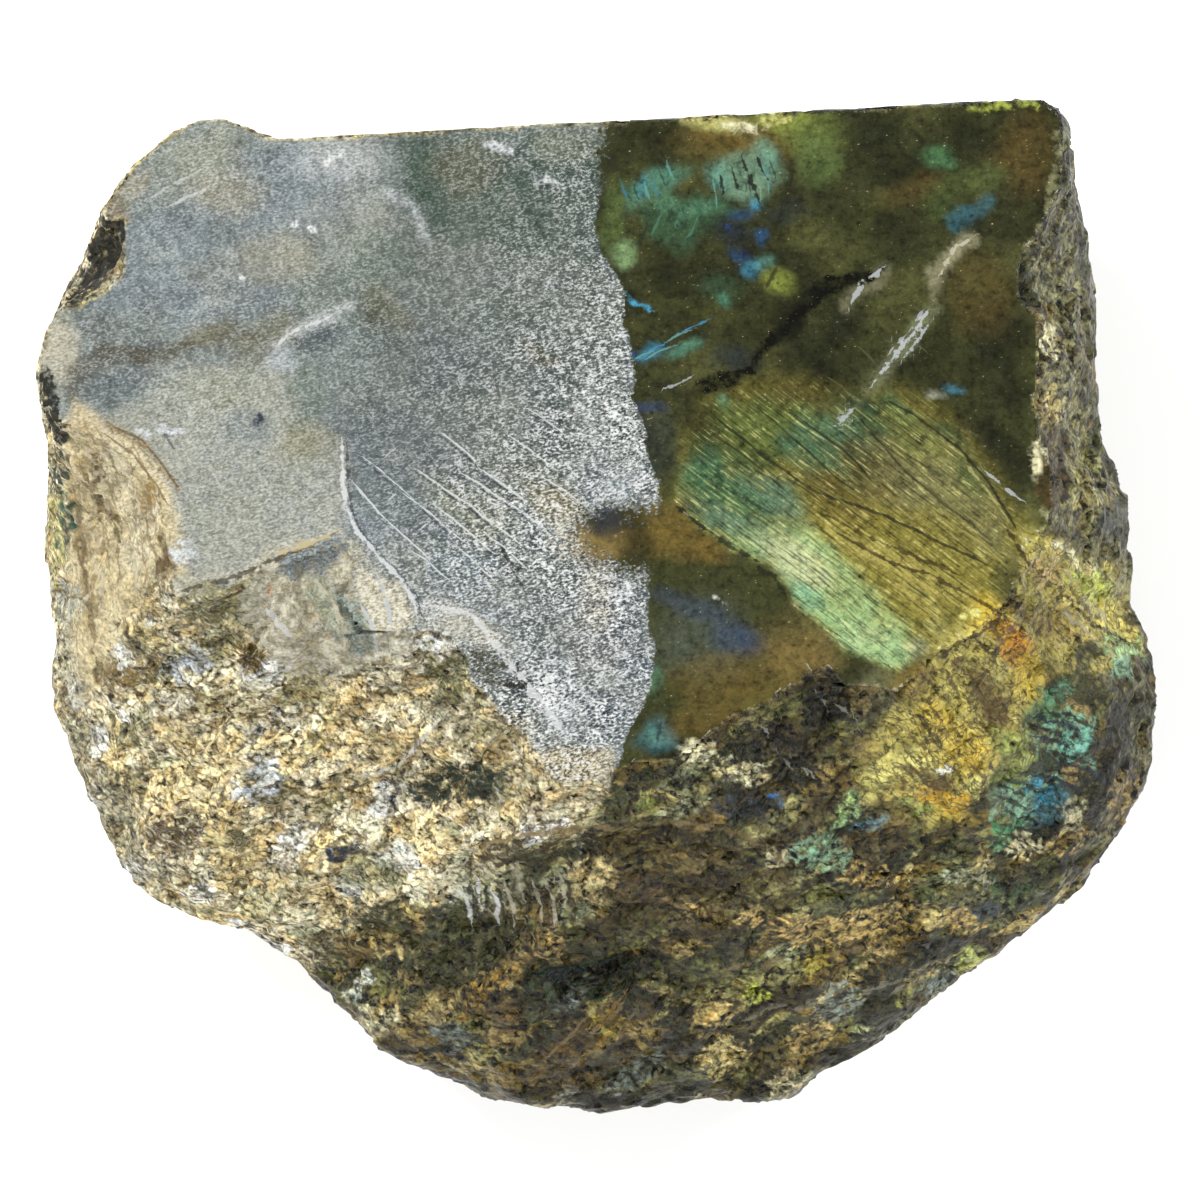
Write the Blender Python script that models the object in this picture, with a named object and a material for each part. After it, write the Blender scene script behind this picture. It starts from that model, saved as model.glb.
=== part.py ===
"""A rough chunk of labradorite: one broken piece of feldspar rock with a large sawn face on top.

Metres, +Z up. The sawn face lies level, facing up. The stone rests on a flat break underneath, and the origin is on
that resting plane, under the middle of the stone's box. +Y points to the stone's straight, sawn back edge.

The stone is drawn as a plan at the level of the sawn face. Below that level it widens: a point of the plan that lies
deeper is moved outwards by SPREAD times its depth. Plan points are in millimetres from the middle of the plan.
"""

import bmesh
import bpy
import numpy as np
from mathutils import Matrix, Vector, noise

NODE = "labradorite_chunk"
MM = 0.001

# Driving sizes, in millimetres.
SAWN_LEVEL = 42.0  # height of the sawn face over the resting plane
WAIST_LEVEL = 16.0  # height of the stone's widest line, where the broken shoulders end
SHOULDER_RUN = 12.0  # a shoulder at least this wide falls all the way to the waist; a narrower one stays higher
SHOULDER_STEEPENING = 0.38  # share of a shoulder's fall that comes late, near the waist
SPREAD = 2.0 * MM  # sideways growth for each millimetre below the sawn face, as a share of the plan
UNDERCUT = 0.17  # how far the foot is drawn in from the waist, as a share of the plan
UNDERCUT_BEND = 1.6  # over 1, the undercut starts gently below the waist
SPARE = 4.0  # rock that stands over the sawing planes and is cut away
SPARE_SLOPE = 1.1  # how steeply that rock rises from the rim of the sawn face
RIM_LIP = 0.1  # the most that the broken surface may stand over the sawn face before the cut
REST_RIM = 5.0  # height of the underside's rim over the resting plane
REST_CROWN = 2.4  # how far the underside would bulge below the resting plane, had it not broken flat
REST_REACH = 26.0  # how far in from the outline the underside levels out
REST_TILT = (-0.022, 0.012)  # slope of the rough underside along X and Y, so that the flat lies off the middle

SAW_REACH = 160.0  # how far the sawing boxes reach, well past the stone

# Faces of the mesh.
BLOCK_CELL = 1.7  # size of the faces while the block is roughed out
RELIEF_CELL = 1.15  # size of the faces that take the relief
MOST_TRIANGLES = 10500  # kept in the broken surface, before the saw cuts

# The widest outline of the stone, clockwise from the upper left corner.
WAIST_PLAN = (
    (-43.4, 47.4), (-40.9, 49.1), (-38.3, 49.8), (-36.0, 48.6), (-34.5, 47.6), (-32.0, 47.1), (-29.0, 47.3),
    (-27.0, 48.4), (-24.0, 50.4), (-13.0, 51.2), (4.0, 51.8), (18.0, 52.4), (32.0, 53.0), (41.0, 53.0),
    (44.8, 51.2), (47.1, 49.4), (47.0, 46.0),
    (47.4, 42.5), (48.3, 38.5), (49.1, 33.0), (49.3, 27.5), (49.3, 24.5), (49.6, 21.0), (50.2, 17.0),
    (52.5, 13.0), (52.7, 10.0), (53.3, 7.0), (53.1, 3.0), (52.4, 0.4), (54.9, -2.2), (55.9, -5.0),
    (55.7, -9.0), (55.2, -14.0), (54.8, -17.6), (52.4, -22.0), (49.4, -26.8), (47.6, -29.4), (43.7, -31.6),
    (37.0, -36.5), (30.0, -41.8), (24.4, -45.0), (21.2, -47.0), (19.4, -48.8), (16.0, -49.3), (12.0, -49.0),
    (0.0, -50.3), (-10.0, -49.3), (-16.0, -47.0), (-21.7, -44.3), (-24.7, -40.9), (-29.6, -35.4),
    (-33.5, -32.9), (-38.0, -31.8), (-42.2, -31.7), (-43.2, -29.9), (-46.8, -27.4), (-49.5, -22.5),
    (-53.1, -16.0), (-54.7, -11.0), (-55.3, -2.0), (-54.8, 1.0), (-55.3, 8.0), (-54.6, 13.5), (-55.4, 20.0),
    (-56.2, 23.5), (-55.5, 27.4), (-52.9, 33.0), (-50.9, 38.0), (-47.5, 43.0),
)

# The edge of the sawn face, clockwise from the back. It runs outside the waist where the face reaches the stone's side.
SAWN_PLAN = (
    (-44.0, 54.0), (50.0, 54.0), (46.4, 49.5), (45.3, 45.0), (45.1, 41.5), (43.6, 36.5), (41.6, 34.8),
    (42.4, 31.5), (43.8, 29.0), (44.2, 24.0), (43.2, 18.0), (43.4, 13.0), (43.9, 9.5), (42.0, 5.5),
    (39.5, 1.5), (36.0, -1.5), (33.0, -4.5), (30.3, -7.5), (27.5, -6.6), (24.0, -5.5), (19.0, -7.5),
    (14.0, -11.0), (9.0, -14.5), (4.0, -15.2), (0.0, -14.3), (-3.5, -12.5), (-5.0, -10.0), (-7.0, -8.0),
    (-10.0, -5.0), (-13.0, -1.8), (-17.0, -0.8), (-19.5, 0.8), (-22.0, 4.0), (-24.2, 6.4), (-30.0, 5.2),
    (-33.0, 4.2), (-36.0, 2.2), (-39.5, 1.0), (-43.0, 1.2), (-42.3, 5.5), (-43.0, 10.0), (-44.5, 13.0),
    (-46.5, 16.0), (-49.0, 18.0), (-52.0, 19.5), (-60.0, 22.0), (-60.0, 31.0), (-52.5, 29.6), (-50.3, 30.6),
    (-48.4, 34.0), (-47.8, 37.5), (-52.0, 42.0),
)

# The second saw cut stands upright along the back edge. It starts at the first plan point and runs past the second.
BACK_CUT = ((-33.0, 47.2), (39.0, 51.0))
BACK_EDGE = 48.0  # how far back that is

# Broken steps: the rock falls by the drop on the right-hand side of the path, and comes back over the run. On the other
# side it rises to a lip along the break.
STEP_LIP = 0.35  # the lip's height and run, as a share of the step's
STEP_ENDS = 2.2  # how suddenly a step starts and ends along its path
STEPS = (  # path, drop, run
    (((-21.5, -27.5), (-10.5, -25.2), (-4.0, -22.8), (4.5, -22.6), (11.0, -23.6)), 2.6, 7.0),
    (((-43.0, 1.0), (-36.5, 1.7), (-33.0, 3.6), (-24.5, 5.4)), 1.5, 5.0),
    (((-18.5, -42.5), (-10.5, -37.0), (-3.5, -32.8)), -2.3, 5.5),
    (((10.5, -34.0), (25.0, -30.4), (40.0, -27.2)), 1.6, 4.5),
    (((9.5, -46.5), (20.0, -41.0), (35.0, -33.6)), 1.8, 4.5),
    (((27.0, -9.0), (33.0, -14.0), (36.0, -24.0)), 1.2, 4.0),
    (((-48.5, -4.0), (-48.5, -15.0), (-43.5, -27.0)), 1.5, 6.0),
    (((-30.0, -35.2), (-24.0, -34.0), (-20.5, -30.0)), 1.4, 4.0),
    (((39.0, 1.0), (48.0, -5.0), (52.0, -9.0)), -1.2, 3.5),
)
# Hollows: middle, half sizes along and across, turn in degrees, depth.
HOLLOWS = (
    ((-47.5, 9.0), (11.0, 4.2), 78, 4.2),  # the long scooped facet at the left
    ((-1.5, -36.5), (6.5, 2.4), 8, 3.2),  # under the dark crust in front
    ((-3.5, -41.0), (3.6, 3.0), 40, 2.2),
    ((-13.5, -34.0), (6.5, 5.0), 25, 1.8),  # the smooth dark cleavage face
    ((-33.0, -10.5), (7.0, 4.5), 20, 1.2),
    ((7.5, -19.0), (6.0, 3.2), 10, 1.2),
    ((21.0, -10.5), (4.5, 3.0), 60, 1.3),
    ((46.0, -13.0), (4.5, 6.0), 0, 1.1),
    ((-34.5, -24.0), (5.5, 3.5), 30, 1.2),
    ((-45.0, -26.0), (3.5, 2.6), 20, 1.5),
)
# Swellings, in the same terms, with a height.
SWELLINGS = (
    ((-26.0, -0.5), (10.5, 5.5), -20, 2.0),  # the terrace of cleavage flakes below the sawn face
    ((-14.0, -6.5), (5.0, 3.5), -30, 1.2),
    ((36.0, -8.0), (8.0, 8.5), 30, 1.5),  # the golden knot of crystals
    ((33.0, -18.0), (7.5, 5.0), -20, 1.4),
    ((-6.0, -32.2), (2.2, 1.6), 40, 1.4),
    ((16.0, -43.0), (8.0, 5.0), 20, 1.8),
    ((-30.0, -29.5), (6.0, 4.0), 15, 1.5),
    ((-40.0, -12.0), (6.5, 6.0), 0, 1.0),
    ((-17.0, -21.0), (5.0, 3.0), 10, 0.9),
    ((46.5, 0.0), (4.0, 4.5), 0, 1.0),
)

# Chips out of the rim of the sawn face, in the same terms as the hollows. They are measured from the uncut rock.
CHIPS = (
    ((14.0, 51.1), (3.4, 4.0), 0, 14.0),
    ((-53.0, 37.5), (3.0, 5.5), -30, 10.0),
)

# Relief of the broken surface everywhere: the size of its parts and how far they stand out.
LUMP_SIZE, LUMP_HEIGHT = 21.0, 1.7
FACETS = ((13.0, 1.35), (6.0, 0.8), (3.1, 0.34))  # cell size, height of a facet's far edge
RELIEF_LIFT = 0.35  # all of the relief is raised by this, so that it reaches the outline
OVERHANG_KEPT = 0.3  # share that stays of what the relief adds outside the outline
LUMP_DETAIL = (1.0, 2.1, 3)  # how the lumps break up into smaller ones: dimension, lacunarity, octaves
FACET_SEED = Vector((3.7, 11.3, 5.9))
TILT_SEED = 5.3

STONE_COLOUR = (0.27, 0.27, 0.20)
STONE_ROUGHNESS = 0.62


def clear_scene():
    """Leaves nothing of the scene that Blender starts with."""
    for old in list(bpy.data.objects):
        bpy.data.objects.remove(old, do_unlink=True)


def segment_distance(points, start, end):
    """Distance from each point to a plan segment, the share along it, and the side: positive on its right."""
    start, end = np.array(start), np.array(end)
    along = end - start
    offset = points - start
    share = np.clip(offset @ along / (along @ along), 0.0, 1.0)
    side = (along[1] * offset[:, 0] - along[0] * offset[:, 1]) / np.linalg.norm(along)
    return np.linalg.norm(offset - share[:, None] * along, axis=1), share, side


def measured(points, outline):
    """Distance of each plan point from a closed outline, positive inside it, and the outline's nearest point."""
    distance = np.full(len(points), np.inf)
    nearest = np.zeros((len(points), 2))
    inside = np.zeros(len(points), bool)
    x, y = points.T
    for start, end in zip(outline, outline[1:] + outline[:1]):
        here, share, _ = segment_distance(points, start, end)
        closer = here < distance
        distance[closer] = here[closer]
        foot = np.array(start) + share[:, None] * (np.array(end) - start)
        nearest[closer] = foot[closer]
        rise = end[1] - start[1]
        if rise != 0.0:
            crosses = (start[1] > y) != (end[1] > y)
            inside ^= crosses & (x < (end[0] - start[0]) * (y - start[1]) / rise + start[0])
    return np.where(inside, distance, -distance), nearest


def bump(points, middle, half, turn):
    """A round dome of height 1 over an ellipse of the plan, falling smoothly to nothing at its edge."""
    angle = np.radians(turn)
    offset = points - np.array(middle)
    along = offset @ (np.cos(angle), np.sin(angle)) / half[0]
    across = offset @ (-np.sin(angle), np.cos(angle)) / half[1]
    return np.clip(1.0 - along**2 - across**2, 0.0, 1.0) ** 1.5


def step_relief(points, path, drop, run):
    """Height change along a broken step: full at the path's right-hand side, back to nothing over the run."""
    distance = np.full(len(points), np.inf)
    side = np.zeros(len(points))
    share = np.zeros(len(points))
    legs = len(path) - 1
    for leg, (start, end) in enumerate(zip(path, path[1:])):
        here, along, which = segment_distance(points, start, end)
        closer = here < distance
        distance[closer] = here[closer]
        side[closer] = which[closer]
        share[closer] = (leg + along[closer]) / legs
    ends = np.clip(np.sin(np.pi * share) * STEP_ENDS, 0.0, 1.0)
    low = np.exp(-distance / run)
    lip = STEP_LIP * np.exp(-distance / (STEP_LIP * run))
    return ends * drop * np.where(side > 0, -low, lip)


def shoulder_level(points):
    """Height of the stone's upper side over each plan point, before the relief and the saw cut."""
    from_sawn, _ = measured(points, SAWN_PLAN)
    from_waist = np.maximum(measured(points, WAIST_PLAN)[0], 0.0)
    outside = np.maximum(-from_sawn, 0.0)
    run = outside + from_waist
    share = np.divide(outside, run, out=np.zeros(len(points)), where=run > 0)
    fall = (SAWN_LEVEL - WAIST_LEVEL) * np.clip(run / SHOULDER_RUN, 0.0, 1.0)
    level = SAWN_LEVEL - fall * ((1.0 - SHOULDER_STEEPENING) * share + SHOULDER_STEEPENING * share**3)
    spare = np.clip(from_sawn * SPARE_SLOPE, 0.0, SPARE)
    for middle, half, turn, depth in HOLLOWS:
        level -= depth * bump(points, middle, half, turn)
    for middle, half, turn, height in SWELLINGS:
        level += height * bump(points, middle, half, turn)
    for path, drop, run_back in STEPS:
        level += step_relief(points, path, drop, run_back)
    level = np.where(from_sawn > 0, SAWN_LEVEL + spare, np.minimum(level, SAWN_LEVEL + RIM_LIP))
    for middle, half, turn, depth in CHIPS:
        level -= depth * bump(points, middle, half, turn)
    return level


def spread(plan, level):
    """How much wider along X and Y the outline is at a level than the plan: the back edge alone stays upright."""
    growth = SPREAD * (SAWN_LEVEL - level)
    leaning = np.clip(1.0 - plan[:, 1] / BACK_EDGE, 0.0, 1.0)
    return 1.0 + np.column_stack((growth, growth * leaning))


def to_stone(plan, level):
    """Moves plan points of a given level to where they are in the stone, in metres."""
    foot = np.maximum(1.0 - level / WAIST_LEVEL, 0.0)
    drawn_in = (1.0 - UNDERCUT * foot**UNDERCUT_BEND)[:, None]
    return np.column_stack((plan * spread(plan, level) * drawn_in, level)) * MM


def points_of(mesh):
    """The mesh's points as an array."""
    found = np.empty(len(mesh.vertices) * 3)
    mesh.vertices.foreach_get("co", found)
    return found.reshape(-1, 3)


def apply_modifiers(obj):
    """Puts the mesh that the modifiers make in place of the object's own."""
    bpy.context.view_layer.update()
    graph = bpy.context.evaluated_depsgraph_get()
    old = obj.data
    obj.data = bpy.data.meshes.new_from_object(obj.evaluated_get(graph))
    obj.modifiers.clear()
    bpy.data.meshes.remove(old)
    obj.data.name = obj.name


def even_faces(obj, cell):
    """Gives the object a new mesh of the same shape, with faces of one size."""
    remesh = obj.modifiers.new("even faces", "REMESH")
    remesh.mode = "VOXEL"
    remesh.voxel_size = cell * MM
    apply_modifiers(obj)


def rough_block():
    """The waist outline as an upright block."""
    mesh = bpy.data.meshes.new(NODE)
    block = bmesh.new()
    corners = [block.verts.new((x * MM, y * MM, 0.0)) for x, y in WAIST_PLAN]
    outline = block.faces.new(corners)
    extruded = bmesh.ops.extrude_face_region(block, geom=[outline])["geom"]
    top = [item for item in extruded if isinstance(item, bmesh.types.BMVert)]
    bmesh.ops.translate(block, verts=top, vec=(0.0, 0.0, SAWN_LEVEL * MM))
    bmesh.ops.recalc_face_normals(block, faces=block.faces)
    block.to_mesh(mesh)
    block.free()
    obj = bpy.data.objects.new(NODE, mesh)
    bpy.context.collection.objects.link(obj)
    return obj


def shape_block(obj):
    """Lowers the block's top to the shoulders, bulges its underside and draws in its foot."""
    places = points_of(obj.data) / MM
    plan = places[:, :2]
    height = np.clip(places[:, 2] / SAWN_LEVEL, 0.0, 1.0)
    upper = shoulder_level(plan)
    inner = np.clip(measured(plan, WAIST_PLAN)[0] / REST_REACH, 0.0, 1.0)
    lower = REST_RIM - (REST_RIM + REST_CROWN) * (1.0 - (1.0 - inner) ** 2) + plan @ REST_TILT
    level = lower + (upper - lower) * height
    obj.data.vertices.foreach_set("co", to_stone(plan, level).ravel())
    obj.data.update()


def facet_relief(place, cell):
    """Height of the broken facet at a place: a plane through its cell's middle, with that cell's own tilt."""
    place = place / cell + FACET_SEED
    middle = noise.voronoi(place)[1][0]
    tilt = 2.0 * noise.cell_vector(middle * TILT_SEED) - Vector((1.0, 1.0, 1.0))
    return (place - middle).dot(tilt)


def add_relief(obj):
    """Pushes each point of the surface in or out by the lumps and facets of the break."""
    mesh = obj.data
    places = points_of(mesh)
    normals = np.array([vertex.normal[:] for vertex in mesh.vertices])
    heights = []
    for place in map(Vector, places / MM):
        height = RELIEF_LIFT + LUMP_HEIGHT * noise.fractal(place / LUMP_SIZE, *LUMP_DETAIL)
        for cell, reach in FACETS:
            height += reach * facet_relief(place, cell)
        heights.append(height)
    moved = places + normals * np.array(heights)[:, None] * MM
    mesh.vertices.foreach_set("co", held_inside(moved / MM).ravel() * MM)
    mesh.update()


def held_inside(places):
    """Draws back to the outline what stands outside it, all but a small share."""
    wider = spread(places[:, :2], places[:, 2])
    plan = places[:, :2] / wider
    distance, nearest = measured(plan, WAIST_PLAN)
    outside = (distance < 0)[:, None]
    plan = np.where(outside, nearest + OVERHANG_KEPT * (plan - nearest), plan)
    return np.column_stack((plan * wider, places[:, 2]))


def saw(obj, name, corner, size, turn=0.0):
    """Cuts away a box that starts at corner, reaches over size and is turned about the vertical."""
    bpy.ops.mesh.primitive_cube_add(size=1.0)
    cutter = bpy.context.object
    cutter.name = name
    cutter.data.transform(Matrix.Translation((0.5, 0.5, 0.5)))
    cutter.data.transform(Matrix.Diagonal((*size, 1.0)))
    cutter.matrix_world = Matrix.Translation(corner) @ Matrix.Rotation(turn, 4, "Z")
    cutter.hide_render = True
    cutter.display_type = "WIRE"
    cut = obj.modifiers.new(name, "BOOLEAN")
    cut.operation = "DIFFERENCE"
    cut.object = cutter
    return cutter


def saw_flat(obj):
    """Cuts the level face, the upright back edge and the resting flat."""
    reach = SAW_REACH * MM
    start, end = (Vector((*point, 0.0)) * MM for point in BACK_CUT)
    turn = np.arctan2(end.y - start.y, end.x - start.x)
    start.z = -reach
    cutters = [
        saw(obj, "level_cut", (-reach, -reach, SAWN_LEVEL * MM), (2 * reach, 2 * reach, reach)),
        saw(obj, "rest_cut", (-reach, -reach, -reach), (2 * reach, 2 * reach, reach)),
        saw(obj, "back_cut", start, (reach, reach, 2 * reach), turn),
    ]
    apply_modifiers(obj)
    for cutter in cutters:
        bpy.data.objects.remove(cutter, do_unlink=True)


def thin_faces(obj):
    """Takes faces away where the surface bends least."""
    thin = obj.modifiers.new("fewer faces", "DECIMATE")
    thin.ratio = MOST_TRIANGLES / (2 * len(obj.data.polygons))
    apply_modifiers(obj)


def centre(obj):
    """Puts the middle of the stone's box over the origin."""
    places = points_of(obj.data)
    middle = (places.min(axis=0) + places.max(axis=0)) / 2
    obj.data.transform(Matrix.Translation((-middle[0], -middle[1], 0.0)))
    print(f"plan middle moved by {-middle[0] / MM:.3f}, {-middle[1] / MM:.3f} mm")


def stone_material():
    """Weathered grey-green feldspar."""
    material = bpy.data.materials.new("labradorite")
    material.use_nodes = True
    shader = material.node_tree.nodes["Principled BSDF"]
    shader.inputs["Base Color"].default_value = (*STONE_COLOUR, 1.0)
    shader.inputs["Roughness"].default_value = STONE_ROUGHNESS
    shader.inputs["Metallic"].default_value = 0.0
    material.diffuse_color = (*STONE_COLOUR, 1.0)
    return material


def build():
    """Makes the stone: a block in outline, shaped, broken and sawn."""
    clear_scene()
    stone = rough_block()
    even_faces(stone, BLOCK_CELL)
    shape_block(stone)
    even_faces(stone, RELIEF_CELL)
    add_relief(stone)
    even_faces(stone, RELIEF_CELL)
    thin_faces(stone)
    saw_flat(stone)
    centre(stone)
    stone.data.materials.clear()
    stone.data.materials.append(stone_material())
    stone.data.shade_flat()


build()
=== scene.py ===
"""A rough chunk of labradorite, dressed: a level sawn face, half dusty and half wet, over broken shoulders.

The stone is one piece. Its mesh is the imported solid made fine, with the small relief of the break carved
into it, and its colours are painted on the mesh's points. Lengths here are millimetres; the mesh itself
is in metres.

A place on the stone is a point of its plan: millimetres from the plan's middle, +X to the right and +Y to
the back, as it lines up over the level of the sawn face for an eye half a metre above it. The colours go
on two layers, dry and wet, which meet at the tide line. Thin lines are seams, which the finish keeps
sharp between the mesh's points.
"""

import logging
import math
from abc import ABC, abstractmethod
from dataclasses import dataclass, field
from enum import Enum
from typing import ClassVar

import bpy
import numpy as np
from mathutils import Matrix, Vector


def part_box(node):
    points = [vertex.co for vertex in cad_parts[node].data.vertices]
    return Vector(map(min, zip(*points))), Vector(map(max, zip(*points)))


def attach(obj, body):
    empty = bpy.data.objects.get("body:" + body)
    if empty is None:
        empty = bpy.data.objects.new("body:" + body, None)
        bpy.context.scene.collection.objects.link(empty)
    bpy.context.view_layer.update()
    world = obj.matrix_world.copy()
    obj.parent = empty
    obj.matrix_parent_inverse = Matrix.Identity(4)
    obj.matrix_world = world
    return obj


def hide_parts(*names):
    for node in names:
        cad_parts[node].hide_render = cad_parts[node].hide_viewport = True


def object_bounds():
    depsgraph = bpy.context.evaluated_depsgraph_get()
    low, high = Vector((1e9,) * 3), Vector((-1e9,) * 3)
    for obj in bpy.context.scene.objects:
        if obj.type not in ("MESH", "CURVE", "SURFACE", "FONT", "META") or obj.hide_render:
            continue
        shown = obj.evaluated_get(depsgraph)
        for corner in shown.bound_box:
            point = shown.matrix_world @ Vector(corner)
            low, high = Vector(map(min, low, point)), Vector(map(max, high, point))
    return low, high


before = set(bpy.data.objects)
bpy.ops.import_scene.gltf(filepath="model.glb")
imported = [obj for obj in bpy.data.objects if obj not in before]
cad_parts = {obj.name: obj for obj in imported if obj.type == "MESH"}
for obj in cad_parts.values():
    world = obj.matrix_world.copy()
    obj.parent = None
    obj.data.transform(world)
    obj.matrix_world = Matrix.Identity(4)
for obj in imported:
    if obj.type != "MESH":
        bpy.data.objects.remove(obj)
cad_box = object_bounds()

LOG = logging.getLogger("labradorite")
NODE = "labradorite_chunk"
MM = 0.001
Array = np.ndarray

PLAN_MIDDLE = np.array((0.49, 0.90))  # where the plan's middle is in the part's own frame
EYE = np.array((0.49, 1.90))  # the place over which the plan lines up
EYE_DROP = 500.0  # from the eye down to the sawn face
SAWN_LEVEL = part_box(NODE)[1].z / MM
PICTURE_WIDTH = 120.0  # width of the view at the level of the sawn face
LIGHT = 2.4  # how much brighter a surface looks in the studio's light than its own colour
SCREEN_KNEE, SCREEN_SLOPE = 0.04045, 12.92  # how a screen's numbers stand for light: straight to the knee,
SCREEN_LIFT, SCREEN_POWER = 0.055, 2.4  # and a raised power above it


class Tint(Enum):
    """Colours of the stone as they look in even light."""

    WHITE = "eef0ee"
    FROST = "d0d5d5"
    ICE = "c6ccd2"
    PALE = "dfd9be"
    BONE = "c9c2a8"
    CREAM = "d6c69a"
    SAND = "c6b48c"
    BEIGE = "bcab7c"
    CLAY = "a9a48c"
    TAN = "a28c5e"
    CAMEL = "8f7a4e"
    OCHRE = "9a7a3a"
    HONEY = "b08c3c"
    EMBER = "c0562a"
    BRONZE = "7b6636"
    BROWN = "66532f"
    UMBER = "40341f"
    PEAT = "4d4226"
    KHAKI = "8f8a60"
    DRAB = "7a785d"
    OLIVE = "6b6b42"
    DARK_OLIVE = "43452b"
    MOSS = "5f7043"
    LEAF = "7d8a4c"
    SAGE = "9ea287"
    LICHEN = "8f9556"
    ASH = "b0b1a1"
    GREY = "989e96"
    FOG = "868f8a"
    SHALE = "768275"
    SLATE = "6c7677"
    STEEL = "848f92"
    LILAC = "8f8b98"
    NAVY = "303b49"
    INK = "2a3340"
    COAL = "26281f"
    BLACK = "0f100c"
    PINE = "2d3b2e"
    FOREST = "3f5a45"
    DEEP_TEAL = "35604c"
    TEAL = "5c8a72"
    TURQUOISE = "6aae9e"
    AQUA = "74b0a8"
    SKY = "4a9ac6"
    SEA = "3c86a8"
    BLUE = "2c5f9e"
    COBALT = "27468a"
    GREEN = "5f9068"
    EMERALD = "3c7f5c"
    MINT = "98b98a"
    JADE = "7fa595"
    LIME = "aab456"
    LEMON = "d8d28a"
    STRAW = "c2b468"
    GOLD = "9a8f48"
    AMBER = "c09830"
    ORANGE = "d08418"
    SUN = "d9bc4c"

    def light(self) -> Array:
        """The colour as linear red, green and blue, before the studio's light falls on it."""
        seen = np.array([int(self.value[at:at + 2], 16) for at in (0, 2, 4)]) / 255.0
        bright = ((seen + SCREEN_LIFT) / (1.0 + SCREEN_LIFT)) ** SCREEN_POWER
        return np.where(seen > SCREEN_KNEE, bright, seen / SCREEN_SLOPE) / LIGHT


class Layer(Enum):
    """The two layers of colour."""

    DRY = "dry_tint"
    WET = "wet_tint"


# ---- noise

CORNERS = np.array([(x, y, z) for x in (0, 1) for y in (0, 1) for z in (0, 1)])
NEIGHBOURS = np.array([(x, y, z) for x in (-1, 0, 1) for y in (-1, 0, 1) for z in (-1, 0, 1)])
# The noise's axes are turned, so that no lattice shows on a flat face.
CLOUD_AXES = np.array(((0.36, 0.48, -0.8), (-0.8, 0.6, 0.0), (0.48, 0.64, 0.6)))
HASH_STEPS = np.array((73856093, 19349663, 83492791), np.int64)
HASH_SEED_STEP = 668265263
HASH_ROUNDS = ((15, 2246822519), (13, 3266489917))  # how far bits are shifted, and their factor
HASH_LAST_SHIFT = 16
HASH_MASK = 0xFFFFFFFF


def hashed(cells: Array, seed: int) -> Array:
    """Even random numbers that depend on a cell and a seed alone.

    Args:
        cells: Whole-numbered cells, one a row.
        seed: Which set of numbers.

    Returns:
        One number from 0 to 1 for each cell.
    """
    mixed = cells.astype(np.int64) @ HASH_STEPS + seed * HASH_SEED_STEP
    for shift, factor in HASH_ROUNDS:
        mixed = ((mixed ^ (mixed >> shift)) * factor) & HASH_MASK
    return (mixed ^ (mixed >> HASH_LAST_SHIFT)) / HASH_MASK


def cloud(places: Array, size: float, seed: int, octaves: int = 2) -> Array:
    """Smooth noise.

    Args:
        places: Points, one a row.
        size: Size of the noise's largest lumps.
        seed: Which noise.
        octaves: How many times finer lumps are added, each half as strong.

    Returns:
        Noise from -1 to 1 for each point.
    """
    total = np.zeros(len(places))
    reach = 0.0
    for octave in range(octaves):
        point = places @ CLOUD_AXES * (2**octave / size)
        cell = np.floor(point)
        part = point - cell
        part = eased(part)
        for corner in CORNERS:
            weight = np.prod(np.where(corner, part, 1.0 - part), axis=1)
            total += weight * (2.0 * hashed(cell + corner, seed + octave) - 1.0) * 0.5**octave
        reach += 0.5**octave
    return total / reach


@dataclass
class Cells:
    """Crystal cells: for each point, the cell that it is in."""

    number: Array  # a random number from 0 to 1 for the cell
    offset: Array  # from the cell's middle to the point, in cells
    edge: Array  # nearness to the cell's border: 0 on it


def cells_at(places: Array, size: float, seed: int) -> Cells:
    """Finds each point's cell.

    Args:
        places: Points, one a row.
        size: Size of the cells.
        seed: Which cells.

    Returns:
        The cells.
    """
    point = places / size
    base = np.floor(point)
    nearest = np.full(len(places), np.inf)
    second = np.full(len(places), np.inf)
    number = np.zeros(len(places))
    offset = np.zeros((len(places), 3))
    for step in NEIGHBOURS:
        cell = base + step
        jitter = np.column_stack([hashed(cell, seed + turn) for turn in (1, 2, 3)])
        away = point - cell - jitter
        distance = np.linalg.norm(away, axis=1)
        second = np.minimum(second, np.maximum(distance, nearest))
        closer = distance < nearest
        nearest[closer] = distance[closer]
        offset[closer] = away[closer]
        number[closer] = hashed(cell[closer], seed)
    return Cells(number, offset, second - nearest)


def turned(places: Array, angle: float, stretch: tuple[float, float, float]) -> Array:
    """Points in axes turned about the vertical by an angle in degrees and then shrunk by stretch."""
    cos, sin = math.cos(math.radians(angle)), math.sin(math.radians(angle))
    along = places[:, 0] * cos + places[:, 1] * sin
    across = places[:, 1] * cos - places[:, 0] * sin
    return np.column_stack((along / stretch[0], across / stretch[1], places[:, 2] / stretch[2]))


def eased(share: Array) -> Array:
    """A share cut to 0 to 1 and eased at both ends."""
    share = np.clip(share, 0.0, 1.0)
    return share * share * (3.0 - 2.0 * share)


def inside_edge(depth: Array, soft: float) -> Array:
    """How fully a point at some depth is inside an edge: half on the edge, which is soft wide."""
    return eased(depth / soft + 0.5)


# ---- shapes in the plan

Point = tuple[float, float]
Points = tuple[Point, ...]
Span = tuple[float, float, float, float]  # lowest and highest X, lowest and highest Y
COMB_PHASES = (5.1, 3.7)  # how fast a comb's places and lengths stray from tooth to tooth
COMB_BOW = 0.04  # how far a tooth bows, as a share of its length


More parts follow.
